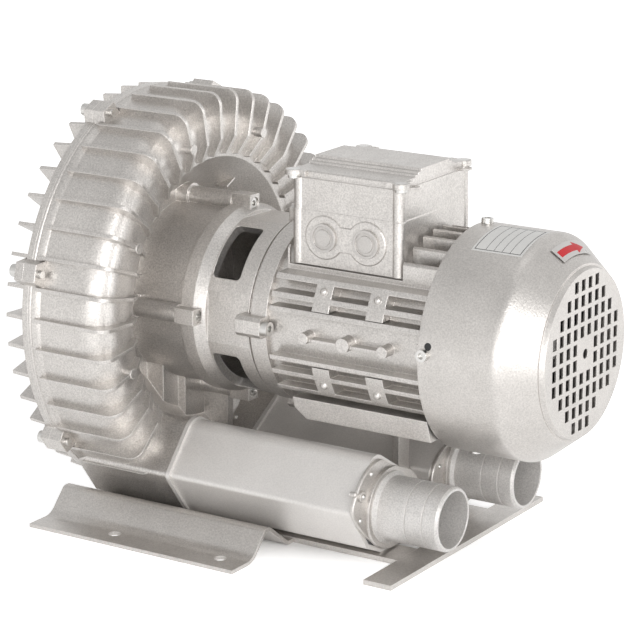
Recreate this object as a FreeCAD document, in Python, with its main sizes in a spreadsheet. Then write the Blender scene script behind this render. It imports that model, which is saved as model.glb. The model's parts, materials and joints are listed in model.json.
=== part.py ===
import FreeCAD, Part
import math
import os

import Sketcher

# Side channel blower with a finned ring casing, an open lantern, a flanged electric motor and two
# silencers with hose barbs on a welded foot frame.
# Frame: the origin is on the floor at the centre of the four foot holes. +X runs along the motor axis
# from the ring casing to the fan cowl, +Z is up, and the near silencer is on the -Y side.

doc = FreeCAD.newDocument("SideChannelBlower")
sheet = doc.addObject("Spreadsheet::Sheet", "Sizes")

# Driving dimensions in millimetres and degrees. A name that ends in _at is a station along X.
SIZES = {
    # Motor axis and the joint faces along it
    "axis_height": 168,
    "cover_joint_at": -109.5,
    "neck_joint_at": -28,
    "shield_joint_at": 35.7,
    "frame_front_at": 50,
    "frame_rear_at": 190,
    # Ring casing
    "rim_radius": 161.9,
    "cover_rim": 5.5,
    "housing_rim": 2,
    "rim_bevel": 7.5,
    "ring_radius": 153.5,
    "ring_depth": 65.5,
    "shoulder_depth": 42.5,
    "shoulder_round": 18,
    "face_outer_radius": 145.5,
    "face_inner_radius": 124,
    "face_drop": 5,
    "inner_lip_radius": 109,
    "valley_radius": 82,
    "valley_depth": 29.5,
    "neck_radius": 72,
    "neck_wall": 8,
    "web_front_depth": 35.5,
    "web_wall": 12,
    "seal_boss_radius": 38,
    "seal_boss_length": 10,
    # Impeller chamber and side channel
    "channel_inner_radius": 100,
    "channel_outer_radius": 142,
    "channel_wall": 9,
    "channel_round": 20,
    "inner_rib_wall": 6,
    "chamber_depth": 10,
    # Fins of the casing
    "fin_count": 42,
    "fin_angle": 6.77,
    "fin_thickness": 3,
    "fin_tip_radius": 163.5,
    "fin_start": 6.5,
    "fin_stand": 8.5,
    "fin_corner": 10,
    "fin_face_radius": 127,
    "fin_point_radius": 112,
    "fin_point_drop": 1,
    "cover_bulge": 14.5,
    "cover_fin_stand": 8,
    "cover_fin_inner_radius": 66,
    "cover_wall": 4.5,
    "cover_bulge_radius": 150,
    "cover_cap_radius": 34,
    "cover_cap": 4,
    # Clamp lugs round the rim
    "lug_count": 6,
    "lug_pitch": 51.43,
    "lug_angle": 319.7,
    "lug_outer_radius": 171,
    "lug_screw_radius": 165.5,
    "lug_half_width": 7,
    "lug_root_half_width": 13,
    "lug_length": 11.5,
    "cover_lug_length": 8,
    "cover_screw": 3,
    "cover_screw_head": 5,
    "cover_screw_head_length": 6,
    "bottom_screw_radius": 148,
    "bottom_screw_angle": 268.3,
    "bottom_screw_depth": 18,
    # Long bosses on the neck and the lugs that follow them
    "boss_angle": 88.5,
    "boss_count": 4,
    "boss_centre_radius": 76.5,
    "boss_radius": 7.5,
    "boss_start": 24,
    "boss_root_radius": 9.5,
    "boss_root_length": 13,
    "port_wall_half_width": 50,
    "port_wall_length": 16,
    "port_rib_half_width": 30,
    "port_rib_length": 7,
    "neck_screw": 3,
    "neck_screw_head": 5,
    "neck_screw_thread": 16,
    "neck_head_depth": 6,
    "lantern_lug_length": 18,
    "lantern_lug_radius": 84,
    "lantern_lug_half_width": 6.2,
    # Lantern ring
    "lantern_band_radius": 75.5,
    "lantern_band": 12,
    "lantern_slope": 9,
    "lantern_radius": 71.5,
    "lantern_wall": 7.5,
    "joint_groove": 2.7,
    "joint_groove_depth": 2,
    "window_at": -5.5,
    "window_length": 25.5,
    "window_half_width": 24.3,
    "window_corner": 4,
    "flat_radius": 68.5,
    "front_lug_length": 8,
    "front_lug_radius": 82,
    "front_lug_half_width": 8,
    # Motor shields and bearings
    "shield_radius": 73,
    "shield_web": 6,
    "shield_spigot": 5,
    "shield_spigot_wall": 5,
    "drive_bearing_outer": 26,
    "drive_bearing_bore": 12.5,
    "drive_bearing_width": 15,
    "rear_bearing_outer": 23.5,
    "rear_bearing_bore": 10,
    "rear_bearing_width": 14,
    "spring_height": 1.5,
    "race_wall": 2.4,
    "ball_gap": 0.3,
    "bearing_hub_wall": 6,
    "bearing_lip": 5,
    "running_gap": 0.1,
    "seal_width": 10,
    "shield_screw": 3,
    "shield_screw_circle": 76.5,
    "shield_screw_head": 5.5,
    "shield_screw_head_length": 6,
    "rear_shield_radius": 79,
    "rear_shield_length": 16,
    # Motor frame
    "frame_bore": 62,
    "frame_tube_radius": 69,
    "frame_fin_radius": 80,
    "frame_fin_thickness": 2.6,
    "side_fin_thickness": 3.8,
    "frame_fin_setback": 6.5,
    "pad_length": 15,
    "pad_one_at": 101.5,
    "pad_two_at": 148.8,
    "pad_low": 22,
    "pad_high": 45,
    "foot_drop": 69,
    "foot_half_width": 62,
    "foot_top_half_width": 68,
    "foot_depth": 18,
    "foot_wall": 6,
    "foot_pad_half_width": 10,
    "foot_front_at": 71,
    "foot_bevel": 9,
    "foot_rear_at": 190,
    "post_web_radius": 77,
    "dimple_radius": 3.2,
    "dimple_level": 36.5,
    # Stator, rotor and shaft
    "stator_length": 82,
    "stator_front_at": 84,
    "stator_bore": 38,
    "air_gap": 0.4,
    "winding_overhang": 18,
    "winding_inner_radius": 41,
    "winding_outer_radius": 58,
    "rotor_end_ring": 9,
    "core_seat_radius": 17,
    "shaft_shoulder_radius": 15.5,
    "rear_shoulder_radius": 12.5,
    "impeller_seat_radius": 12,
    "fan_seat_radius": 9,
    "shaft_end_at": 258,
    # Impeller
    "impeller_clearance": 0.6,
    "impeller_tip_gap": 1,
    "impeller_disc": 6,
    "blade_height": 30,
    "blade_count": 40,
    "blade_thickness": 2.4,
    "impeller_hub_radius": 30,
    "impeller_hub_length": 25,
    "impeller_washer_radius": 17,
    "impeller_washer": 3,
    "impeller_screw": 4,
    "impeller_screw_head": 7,
    "impeller_screw_head_length": 3.4,
    "impeller_screw_length": 25,
    "key_width": 6,
    "key_length": 18,
    "key_height": 6.8,
    # Cooling fan
    "fan_at": 222,
    "fan_length": 26,
    "fan_hub_radius": 20,
    "fan_disc": 3,
    "fan_radius": 76,
    "fan_blades": 8,
    "fan_blade_thickness": 2.5,
    "circlip_radius": 12.5,
    "circlip_width": 1.5,
    # Fan cowl
    "cowl_front_at": 192.2,
    "cowl_radius": 86.8,
    "cowl_shoulder_at": 256,
    "cowl_shoulder_round": 12,
    "cowl_edge_at": 281,
    "cowl_edge_radius": 67,
    "cowl_disc_radius": 65.3,
    "cowl_end_at": 285,
    "cowl_wall": 1.6,
    "slot_width": 6.3,
    "slot_height": 8.7,
    "slot_pitch_across": 10.8,
    "slot_pitch_up": 11.9,
    "centre_hole": 3.8,
    "centre_bare": 10,
    "cowl_screw_angle": 86,
    "cowl_screw": 2.5,
    "cowl_screw_head": 4.6,
    "cowl_screw_head_length": 4,
    "cowl_screw_depth": 5,
    "cowl_screw_length": 9,
    "plate_front_at": 210,
    "plate_length": 42,
    "plate_half_width": 29,
    "plate_angle": 93,
    "plate_thickness": 0.5,
    # Terminal box
    "box_front_at": 61,
    "box_rear_at": 155.5,
    "box_half_width": 50,
    "box_low": 50,
    "box_high": 117,
    "box_wall": 4,
    "box_floor": 4,
    "box_corner": 4,
    "gasket": 1.2,
    "lid_flange": 2,
    "lid_top": 128.4,
    "lid_top_half_width": 22.5,
    "lid_wall": 3,
    "lid_step": 1.7,
    "lid_lug_radius": 6,
    "lid_lug_overhang": 2.5,
    "lid_lug_inset": 11,
    "lid_lug_depth": 14,
    "lid_screw": 2.5,
    "lid_screw_head": 4.2,
    "lid_screw_head_length": 3.2,
    "lid_screw_thread": 10,
    "gland_one_at": 88.8,
    "gland_two_at": 126.3,
    "gland_height": 72.6,
    "gland_radius": 9,
    "gland_rim_radius": 16,
    "gland_rim": 1,
    "box_step": 0.6,
    "box_step_height": 92,
    "box_column": 3,
    "gland_flange_radius": 11,
    "gland_flange": 2,
    "terminal_block_length": 56,
    "terminal_block_width": 30,
    "terminal_block_height": 12,
    "terminal_stud": 2.5,
    "terminal_stud_length": 10,
    # Silencers and hose barbs
    "silencer_front_at": -22,
    "silencer_rear_at": 147,
    "silencer_wall": 3.5,
    "silencer_bottom": 4,
    "silencer_side_y": 107,
    "silencer_side_z": 47.5,
    "silencer_top_y": 72,
    "silencer_top_z": 88,
    "silencer_inner_y": 9,
    "silencer_inner_z": 49,
    "silencer_low_y": 14,
    "silencer_low_z": 10,
    "silencer_base_y": 22,
    "silencer_heel_y": 62,
    "silencer_bevel_y": 81.5,
    "silencer_bevel_z": 13,
    "silencer_top_round": 14,
    "silencer_side_round": 4,
    "silencer_gasket": 1,
    "seam_width": 3.5,
    "seam_stand": 2,
    "plate_stand": 0.8,
    "port_depth": 30,
    "end_plate": 3,
    "duct_radius": 22,
    "barb_y": 58,
    "barb_height": 40.65,
    "barb_radius": 25,
    "barb_length": 58,
    "barb_collar_radius": 28,
    "barb_collar": 6,
    "barb_groove_depth": 0.7,
    "plate_screw": 2,
    "plate_screw_head": 3.2,
    "plate_screw_head_length": 2,
    # Foot frame
    "rail_front_at": -120.6,
    "rail_rear_at": 72.6,
    "rail_thickness": 3,
    "rail_edge_y": 153.6,
    "rail_rise_y": 127,
    "rail_ridge_outer_y": 109,
    "rail_ridge_inner_y": 102,
    "rail_ridge_height": 22,
    "rail_sweep": 15,
    "rail_crown": 6,
    "rail_heel_y": 77,
    "rail_inner_y": 70,
    "hole_spacing_x": 100,
    "hole_spacing_y": 273,
    "hole_radius": 5,
    "strap_thickness": 4,
    "strap_inner_y": 40,
    "strap_rear_at": 166.4,
    "cross_bar_length": 24,
    "cross_bar_half_width": 118.4,
    "base_bolt": 4,
    "base_bolt_head": 8,
    "base_bolt_length": 13.5,
    "base_bolt_y": 55,
    "base_bolt_front_at": -90,
    "base_bolt_rear_at": -40,
    # Motor support
    "support_at": 124,
    "support_width": 6,
    "support_half_depth": 8,
    "support_flange": 3,
    "support_flange_length": 34,
    "support_screw": 3,
    "support_screw_thread": 6,
    "support_screw_head": 5,
    "support_screw_head_length": 5,
}

for row, (alias, value) in enumerate(SIZES.items(), start=1):
    cell = "A%d" % row
    sheet.set(cell, str(value))
    sheet.setAlias(cell, alias)
doc.recompute()


def size(alias):
    """One driving dimension, read from the sheet."""
    return float(sheet.get(alias))


def number(formula):
    """The value of a sum of products such as 'neck_radius - 2 * neck_wall'."""
    total = 0.0
    product = 1.0
    started = False
    for word in formula.split():
        if word in ("+", "-"):
            if started:
                total += product
            product = 1.0 if word == "+" else -1.0
        elif word != "*":
            factor = size(word) if word[0].isalpha() else float(word)
            product *= factor
            started = True
    return total + product


def bound(formula):
    """The same sum as an expression that refers to the sheet."""
    words = []
    for word in formula.split():
        words.append("Sizes." + word if word[0].isalpha() else word)
    return " ".join(words)


def vec(along, across=0.0, up=0.0):
    return FreeCAD.Vector(along, across, up)


def polar(radius, angle):
    """The y and z of a point at this radius and angle round the motor axis."""
    turn = math.radians(angle)
    return radius * math.cos(turn), radius * math.sin(turn)


def origin_feature(body, role):
    for feature in body.Origin.OriginFeatures:
        if feature.Role == role:
            return feature
    raise ValueError(role)


def new_body(label, height="axis_height"):
    """An empty body whose own X axis lies at the given height above the floor."""
    body = doc.addObject("PartDesign::Body", label)
    body.Label = label
    if height:
        body.setExpression("Placement.Base.z", bound(height))
    return body


def new_sketch(body, name, plane, start=None, tilt=None, spin=None):
    """A sketch on an origin plane, tilted about its x axis or spun about its normal, then moved out."""
    sketch = body.newObject("Sketcher::SketchObject", name)
    sketch.AttachmentSupport = (origin_feature(body, plane), [""])
    sketch.MapMode = "FlatFace"
    turn = FreeCAD.Rotation()
    if tilt:
        turn = FreeCAD.Rotation(vec(1), number(tilt))
    if spin:
        turn = FreeCAD.Rotation(vec(0, 0, 1), number(spin))
    if tilt and start:
        sketch.AttachmentOffset = FreeCAD.Placement(turn.multVec(vec(0, 0, number(start))), turn)
    else:
        sketch.AttachmentOffset = FreeCAD.Placement(vec(0), turn)
        if start:
            sketch.setExpression("AttachmentOffset.Base.z", bound(start))
    return sketch


def corner_arc(before, corner, after, radius):
    """The tangent points, the centre and the turn of a rounded corner."""
    into = (corner - before).normalize()
    out = (after - corner).normalize()
    turn = into.x * out.y - into.y * out.x
    bend = math.acos(max(-1.0, min(1.0, into.dot(out))))
    reach = radius * math.tan(bend / 2)
    first = corner - into * reach
    second = corner + out * reach
    side = 1.0 if turn > 0 else -1.0
    centre = first + vec(-into.y, into.x) * radius * side
    return first, second, centre, side


def outline(sketch, points):
    """A closed outline. Each point is a pair of formulas, with a corner radius as a third where round."""
    count = len(points)
    corners = [vec(number(point[0]), number(point[1])) for point in points]
    starts = list(corners)
    ends = list(corners)
    arcs = []
    for index, point in enumerate(points):
        if len(point) == 3:
            before = corners[index - 1]
            after = corners[(index + 1) % count]
            first, second, centre, side = corner_arc(before, corners[index], after, number(point[2]))
            ends[index] = first
            starts[index] = second
            arcs.append((index, first, second, centre, side))
    geometry = []
    for index in range(count):
        geometry.append(Part.LineSegment(starts[index], ends[(index + 1) % count]))
    rules = []
    formulas = []
    arc_of = {}
    for index, first, second, centre, side in arcs:
        low, high = (first, second) if side > 0 else (second, first)
        circle = Part.Circle(centre, vec(0, 0, 1), (first - centre).Length)
        angle_low = math.atan2(low.y - centre.y, low.x - centre.x)
        angle_high = math.atan2(high.y - centre.y, high.x - centre.x)
        arc_of[index] = len(geometry)
        geometry.append(Part.ArcOfCircle(circle, angle_low, angle_high))
    mark_of = {}
    for index, first, second, centre, side in arcs:
        mark_of[index] = len(geometry)
        geometry.append(Part.Point(corners[index]))
    for index in range(count):
        line_in = (index - 1) % count
        if index in arc_of:
            arc = arc_of[index]
            mark = mark_of[index]
            turn_left = [item[4] for item in arcs if item[0] == index][0] > 0
            rules.append(Sketcher.Constraint("Tangent", line_in, 2, arc, 1 if turn_left else 2))
            rules.append(Sketcher.Constraint("Tangent", index, 1, arc, 2 if turn_left else 1))
            rules.append(Sketcher.Constraint("PointOnObject", mark, 1, line_in))
            rules.append(Sketcher.Constraint("PointOnObject", mark, 1, index))
            formulas.append((len(rules), points[index][2]))
            rules.append(Sketcher.Constraint("Radius", arc, number(points[index][2])))
            holder = (mark, 1)
        else:
            rules.append(Sketcher.Constraint("Coincident", line_in, 2, index, 1))
            holder = (index, 1)
        formulas.append((len(rules), points[index][0]))
        rules.append(Sketcher.Constraint("DistanceX", -1, 1, holder[0], holder[1], corners[index].x))
        if points[index][1] == "0":
            rules.append(Sketcher.Constraint("PointOnObject", holder[0], holder[1], -1))
        else:
            formulas.append((len(rules), points[index][1]))
            rules.append(Sketcher.Constraint("DistanceY", -1, 1, holder[0], holder[1], corners[index].y))
    sketch.addGeometry(geometry, False)
    for mark in mark_of.values():
        sketch.setConstruction(mark, True)
    sketch.addConstraint(rules)
    for place, formula in formulas:
        if any(word[0].isalpha() for word in formula.split()):
            sketch.setExpression("Constraints[%d]" % place, bound(formula))
    return sketch


def circles(sketch, rounds):
    """Circles, each given as formulas for its centre and its radius."""
    for index, (across, up, radius) in enumerate(rounds):
        centre = vec(number(across), number(up))
        sketch.addGeometry(Part.Circle(centre, vec(0, 0, 1), number(radius)), False)
        rules = [
            Sketcher.Constraint("DistanceX", -1, 1, index, 3, centre.x),
            Sketcher.Constraint("DistanceY", -1, 1, index, 3, centre.y),
            Sketcher.Constraint("Radius", index, number(radius)),
        ]
        first = sketch.ConstraintCount
        sketch.addConstraint(rules)
        for place, formula in enumerate((across, up, radius), start=first):
            if any(word[0].isalpha() for word in formula.split()):
                sketch.setExpression("Constraints[%d]" % place, bound(formula))
    return sketch


def turned(body, name, points, cut=False):
    """A closed outline of (station, radius) turned about the body's X axis, added or cut."""
    sketch = outline(new_sketch(body, name + "_outline", "XZ_Plane"), points)
    kind = "PartDesign::Groove" if cut else "PartDesign::Revolution"
    feature = body.newObject(kind, name)
    feature.Profile = sketch
    feature.ReferenceAxis = (sketch, ["H_Axis"])
    feature.Angle = 360
    body.Tip = feature
    return feature


def padded(body, name, sketch, length, both_ways=False):
    """A pad of a sketch along its plane's normal."""
    feature = body.newObject("PartDesign::Pad", name)
    feature.Profile = sketch
    feature.setExpression("Length", bound(length))
    if both_ways:
        feature.SideType = "Symmetric"
    body.Tip = feature
    return feature


def pocketed(body, name, sketch, length, reverse=False, both_ways=False):
    """A pocket of a sketch, which must take something away."""
    before = body.Tip
    feature = body.newObject("PartDesign::Pocket", name)
    feature.Profile = sketch
    feature.setExpression("Length", bound(length))
    feature.Reversed = reverse
    if both_ways:
        feature.SideType = "Symmetric"
    body.Tip = feature
    doc.recompute()
    if feature.Shape.Volume >= before.Shape.Volume - 0.01:
        raise ValueError("the pocket %s cuts nothing" % name)
    return feature


def around(body, name, feature, count, angle=None):
    """Copies of a feature round the body's X axis."""
    pattern = body.newObject("PartDesign::PolarPattern", name)
    pattern.Originals = [feature]
    pattern.Axis = (origin_feature(body, "X_Axis"), [""])
    pattern.setExpression("Occurrences", bound(count))
    if angle:
        pattern.setExpression("Angle", bound(angle))
    else:
        pattern.Angle = 360
    body.Tip = pattern
    return pattern


def code_piece(label, shape, height=0.0):
    """A piece whose shape is worked out from the sheet in this file."""
    piece = doc.addObject("Part::Feature", label)
    piece.Label = label
    piece.Shape = shape
    piece.Placement = FreeCAD.Placement(vec(0, 0, height), FreeCAD.Rotation())
    return piece


def rod(radius, start, length, across=0.0, up=0.0, direction=None):
    """A solid rod from a start station along X, or along another direction from a start point."""
    if direction is None:
        return Part.makeCylinder(radius, length, vec(start, across, up), vec(1))
    return Part.makeCylinder(radius, length, start, direction)


def slab(low, high):
    """A box between its lowest and highest corners."""
    return Part.makeBox(high.x - low.x, high.y - low.y, high.z - low.z, low)


def screw_along(direction, seat, shank, length, head, head_length, socket=0.5):
    """A socket-head screw whose head stands on the seat and whose shank runs the other way."""
    inward = direction * -1.0
    body = rod(shank, seat, length, direction=inward).fuse(rod(head, seat, head_length, direction=direction))
    recess = seat + direction * (head_length * 0.45)
    return body.cut(rod(head * socket, recess, head_length, direction=direction))


# Ring casing

def rectangle(left, right, low, high, corner=None):
    """The four corners of an upright rectangle, rounded if a corner radius is given."""
    ends = [(left, low), (right, low), (right, high), (left, high)]
    if corner:
        ends = [(across, up, corner) for across, up in ends]
    return ends


def silencer_points(side, height="axis_height"):
    """The outline shared by a silencer and its port, on the near (-1) or the far (+1) side."""
    lift = " - " + height if height else ""
    corners = [
        ("silencer_side_y", "silencer_side_z", "silencer_side_round"),
        ("silencer_top_y", "silencer_top_z", "silencer_top_round"),
        ("silencer_inner_y", "silencer_inner_z", "silencer_side_round"),
        ("silencer_low_y", "silencer_low_z", "silencer_side_round"),
        ("silencer_base_y", "silencer_bottom", None),
        ("silencer_heel_y", "silencer_bottom", "silencer_side_round"),
        ("silencer_bevel_y", "silencer_bevel_z", "silencer_side_round"),
    ]
    points = []
    for across, up, corner in corners:
        point = (mirrored(across, side), up + lift)
        points.append(point + (corner,) if corner else point)
    return points


def mirrored(formula, side):
    """The formula as it stands on the far side (+1), or with every sign changed on the near side (-1)."""
    if side > 0:
        return formula
    swapped = {"+": "-", "-": "+"}
    words = [swapped.get(word, word) for word in formula.split()]
    if words[0] != "+":
        words.insert(0, "-")
    return " ".join(words[1:] if words[0] == "+" else words)


def lug_points():
    """One clamp lug, drawn at the top of the rim."""
    return [
        ("- lug_root_half_width", "ring_radius - 2"),
        ("lug_root_half_width", "ring_radius - 2"),
        ("lug_half_width", "lug_outer_radius"),
        ("- lug_half_width", "lug_outer_radius"),
    ]


def ring_housing():
    """A turned casing with fins, clamp lugs, neck bosses and the port block that feeds the silencers."""
    body = new_body("ring_housing")
    joint = "cover_joint_at"
    face = "cover_joint_at + ring_depth"
    rib = "cover_joint_at - chamber_depth + impeller_disc + 2 * impeller_clearance"
    web = "cover_joint_at + web_front_depth"
    turned(body, "ring_casting", [
        (joint, "rim_radius"),
        (joint + " + housing_rim", "rim_radius"),
        (joint + " + housing_rim + rim_bevel", "ring_radius"),
        (joint + " + shoulder_depth", "ring_radius", "shoulder_round"),
        (face, "face_outer_radius"),
        (face, "face_inner_radius"),
        (face + " - face_drop", "inner_lip_radius"),
        (joint + " + valley_depth", "valley_radius"),
        (joint + " + valley_depth", "neck_radius"),
        ("neck_joint_at", "neck_radius"),
        ("neck_joint_at", "neck_radius - neck_wall"),
        (web, "neck_radius - neck_wall"),
        (web, "seal_boss_radius"),
        (web + " + seal_boss_length", "seal_boss_radius"),
        (web + " + seal_boss_length", "drive_bearing_outer"),
        (web + " - web_wall", "drive_bearing_outer"),
        (web + " - web_wall", "channel_inner_radius - inner_rib_wall"),
        (rib, "channel_inner_radius - inner_rib_wall"),
        (rib, "channel_inner_radius"),
        (face + " - channel_wall", "channel_inner_radius", "channel_round"),
        (face + " - channel_wall", "channel_outer_radius", "channel_round"),
        (joint, "channel_outer_radius"),
    ])
    boss = new_sketch(body, "boss_circle", "YZ_Plane", joint + " + boss_start", spin="boss_angle - 90")
    circles(boss, [("0", "boss_centre_radius", "boss_radius")])
    first_boss = padded(body, "boss", boss, "neck_joint_at - cover_joint_at - boss_start")
    around(body, "bosses", first_boss, "boss_count")
    root = new_sketch(body, "boss_root_circle", "YZ_Plane", joint + " + valley_depth - 2", spin="boss_angle - 90")
    circles(root, [("0", "boss_centre_radius", "boss_root_radius")])
    first_root = padded(body, "boss_root", root, "boss_root_length")
    around(body, "boss_roots", first_root, "boss_count")
    lug = outline(new_sketch(body, "lug_outline", "YZ_Plane", joint, spin="lug_angle - 90"), lug_points())
    first_lug = padded(body, "lug", lug, "lug_length")
    around(body, "lugs", first_lug, "lug_count", "lug_pitch * 5")
    for side, name in ((-1, "near"), (1, "far")):
        block = outline(new_sketch(body, name + "_port_outline", "YZ_Plane", joint), silencer_points(side))
        padded(body, name + "_port", block, "silencer_front_at - cover_joint_at")
    bridge = outline(new_sketch(body, "bridge_outline", "YZ_Plane", joint), rectangle(
        "- silencer_base_y - 2", "silencer_base_y + 2",
        "silencer_bottom - axis_height", "silencer_inner_z - axis_height"))
    padded(body, "bridge", bridge, "silencer_front_at - cover_joint_at - 10")
    rib_plate = outline(new_sketch(body, "neck_rib_outline", "XZ_Plane"), rectangle(
        joint + " + valley_depth + 2", "neck_joint_at - 6",
        "silencer_inner_z - axis_height - 6", "4 - neck_radius"))
    padded(body, "neck_rib", rib_plate, "neck_wall", both_ways=True)
    wall_start = joint + " + valley_depth"
    posts = (("port_wall", wall_start), ("port_rib", wall_start + " + port_wall_length"))
    for name, start in posts:
        half = name + "_half_width"
        post = outline(new_sketch(body, name + "_outline", "YZ_Plane", start), [
            ("- " + half, "silencer_top_z - axis_height - 22"),
            (half, "silencer_top_z - axis_height - 22"),
            (half, "24 - neck_radius"),
            ("0", "8 - neck_radius"),
            ("- " + half, "24 - neck_radius"),
        ])
        padded(body, name, post, name + "_length")
    turned(body, "impeller_chamber", [
        (joint, "0"),
        (joint, "channel_outer_radius"),
        (face + " - channel_wall", "channel_outer_radius", "channel_round"),
        (face + " - channel_wall", "channel_inner_radius", "channel_round"),
        (rib, "channel_inner_radius"),
        (rib, "channel_inner_radius - inner_rib_wall"),
        (web + " - web_wall", "channel_inner_radius - inner_rib_wall"),
        (web + " - web_wall", "0"),
    ], cut=True)
    hole = new_sketch(body, "lug_hole_circle", "YZ_Plane", joint, spin="lug_angle - 90")
    circles(hole, [("0", "lug_screw_radius", "cover_screw")])
    first_hole = pocketed(body, "lug_hole", hole, "lug_length", reverse=True)
    around(body, "lug_holes", first_hole, "lug_count", "lug_pitch * 5")
    low_hole = new_sketch(body, "bottom_hole_circle", "YZ_Plane", joint, spin="bottom_screw_angle - 90")
    circles(low_hole, [("0", "bottom_screw_radius", "cover_screw")])
    pocketed(body, "bottom_hole", low_hole, "bottom_screw_depth", reverse=True)
    tapped = new_sketch(body, "boss_hole_circle", "YZ_Plane", "neck_joint_at", spin="boss_angle - 90")
    circles(tapped, [("0", "boss_centre_radius", "neck_screw")])
    first_tapped = pocketed(body, "boss_hole", tapped, "neck_screw_thread")
    around(body, "boss_holes", first_tapped, "boss_count")
    bolts = new_sketch(body, "base_bolt_circles", "XY_Plane", "silencer_bottom - axis_height")
    circles(bolts, base_bolt_circles())
    pocketed(body, "base_bolt_holes", bolts, "base_bolt_length - strap_thickness", reverse=True)
    fin = outline(new_sketch(body, "fin_outline", "XZ_Plane", tilt="fin_angle - 90"), [
        (joint + " + fin_start", "ring_radius - 2"),
        (joint + " + fin_start", "fin_tip_radius"),
        (face + " + fin_stand", "fin_tip_radius", "fin_corner"),
        (face + " + fin_stand", "fin_face_radius"),
        (face + " + fin_point_drop", "fin_point_radius"),
        (face + " - face_drop - 2", "inner_lip_radius + 2"),
        (face + " - 3", "face_inner_radius"),
        (face + " - 3", "face_outer_radius - 6"),
        (joint + " + shoulder_depth - 3", "ring_radius - 2"),
    ])
    first_fin = padded(body, "fin", fin, "fin_thickness", both_ways=True)
    around(body, "fins", first_fin, "fin_count")
    for side, name in ((-1, "near"), (1, "far")):
        across = mirrored("barb_y", side)
        duct = new_sketch(body, name + "_duct_circle", "YZ_Plane", "silencer_front_at")
        circles(duct, [(across, "barb_height - axis_height", "duct_radius")])
        pocketed(body, name + "_duct", duct, "port_depth")
    return body


def base_bolt_circles():
    """The four bolts that hold the port block on the straps."""
    rounds = []
    for station in ("base_bolt_front_at", "base_bolt_rear_at"):
        for across in ("- base_bolt_y", "base_bolt_y"):
            rounds.append((station, across, "base_bolt"))
    return rounds


def rear_cover():
    """The shallow cover behind the impeller, with fins across its back."""
    body = new_body("rear_cover")
    joint = "cover_joint_at"
    back = "cover_joint_at - cover_bulge"
    turned(body, "cover_casting", [
        (joint, "channel_outer_radius"),
        (joint, "rim_radius"),
        (joint + " - cover_rim", "rim_radius"),
        (joint + " - cover_rim", "cover_bulge_radius + 2"),
        (back, "cover_bulge_radius - 4"),
        (back, "cover_cap_radius"),
        (back + " - cover_cap", "cover_cap_radius - 4"),
        (back + " - cover_cap", "0"),
        (back + " - cover_cap + cover_wall", "0"),
        (back + " - cover_cap + cover_wall", "cover_cap_radius - 6"),
        (joint + " - chamber_depth", "cover_cap_radius - 4"),
        (joint + " - chamber_depth", "channel_outer_radius"),
    ])
    start = joint + " - cover_lug_length"
    lug = outline(new_sketch(body, "lug_outline", "YZ_Plane", start, spin="lug_angle - 90"), lug_points())
    first_lug = padded(body, "lug", lug, "cover_lug_length")
    around(body, "lugs", first_lug, "lug_count", "lug_pitch * 5")
    seat = new_sketch(body, "bottom_seat_circle", "YZ_Plane", start, spin="bottom_screw_angle - 90")
    circles(seat, [("0", "bottom_screw_radius", "lug_half_width")])
    padded(body, "bottom_seat", seat, "cover_lug_length")
    turned(body, "chamber", [
        (joint, "0"),
        (joint, "channel_outer_radius"),
        (joint + " - chamber_depth", "channel_outer_radius"),
        (joint + " - chamber_depth", "0"),
    ], cut=True)
    hole = new_sketch(body, "lug_hole_circle", "YZ_Plane", start, spin="lug_angle - 90")
    circles(hole, [("0", "lug_screw_radius", "cover_screw")])
    first_hole = pocketed(body, "lug_hole", hole, "cover_lug_length", reverse=True)
    around(body, "lug_holes", first_hole, "lug_count", "lug_pitch * 5")
    low_hole = new_sketch(body, "bottom_hole_circle", "YZ_Plane", start + " - 20", spin="bottom_screw_angle - 90")
    circles(low_hole, [("0", "bottom_screw_radius", "cover_screw")])
    pocketed(body, "bottom_hole", low_hole, "cover_lug_length + 20", reverse=True)
    low_head = new_sketch(body, "bottom_head_circle", "YZ_Plane", start, spin="bottom_screw_angle - 90")
    circles(low_head, [("0", "bottom_screw_radius", "cover_screw_head + 1.5")])
    pocketed(body, "bottom_head_seat", low_head, "20")
    fin = outline(new_sketch(body, "fin_outline", "XZ_Plane", tilt="fin_angle - 90"), [
        (joint + " - cover_rim + 1", "rim_radius - 0.3"),
        (back + " - cover_fin_stand", "rim_radius - 2"),
        (back + " - cover_fin_stand", "cover_fin_inner_radius + 7"),
        (back + " + 1", "cover_fin_inner_radius"),
        (back + " + 1", "cover_bulge_radius - 6"),
        (joint + " - cover_rim + 1", "cover_bulge_radius"),
    ])
    first_fin = padded(body, "fin", fin, "fin_thickness", both_ways=True)
    around(body, "fins", first_fin, "fin_count")
    return body


def cover_screws():
    """The clamp screws, with their heads at the back."""
    height = size("axis_height")
    seat = size("cover_joint_at") - size("cover_lug_length")
    solids = []
    for step in range(int(size("lug_count"))):
        angle = size("lug_angle") + step * size("lug_pitch")
        across, up = polar(size("lug_screw_radius"), angle)
        length = size("cover_lug_length") + size("lug_length") + size("cover_screw")
        solids.append((across, up, length))
    across, up = polar(size("bottom_screw_radius"), size("bottom_screw_angle"))
    solids.append((across, up, size("cover_lug_length") + size("bottom_screw_depth")))
    screws = []
    for across, up, length in solids:
        screws.append(screw_along(vec(-1), vec(seat, across, up), size("cover_screw"), length,
                                  size("cover_screw_head"), size("cover_screw_head_length")))
    return code_piece("cover_screws", Part.makeCompound(screws), height)


# Impeller and what holds it on the shaft

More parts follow.
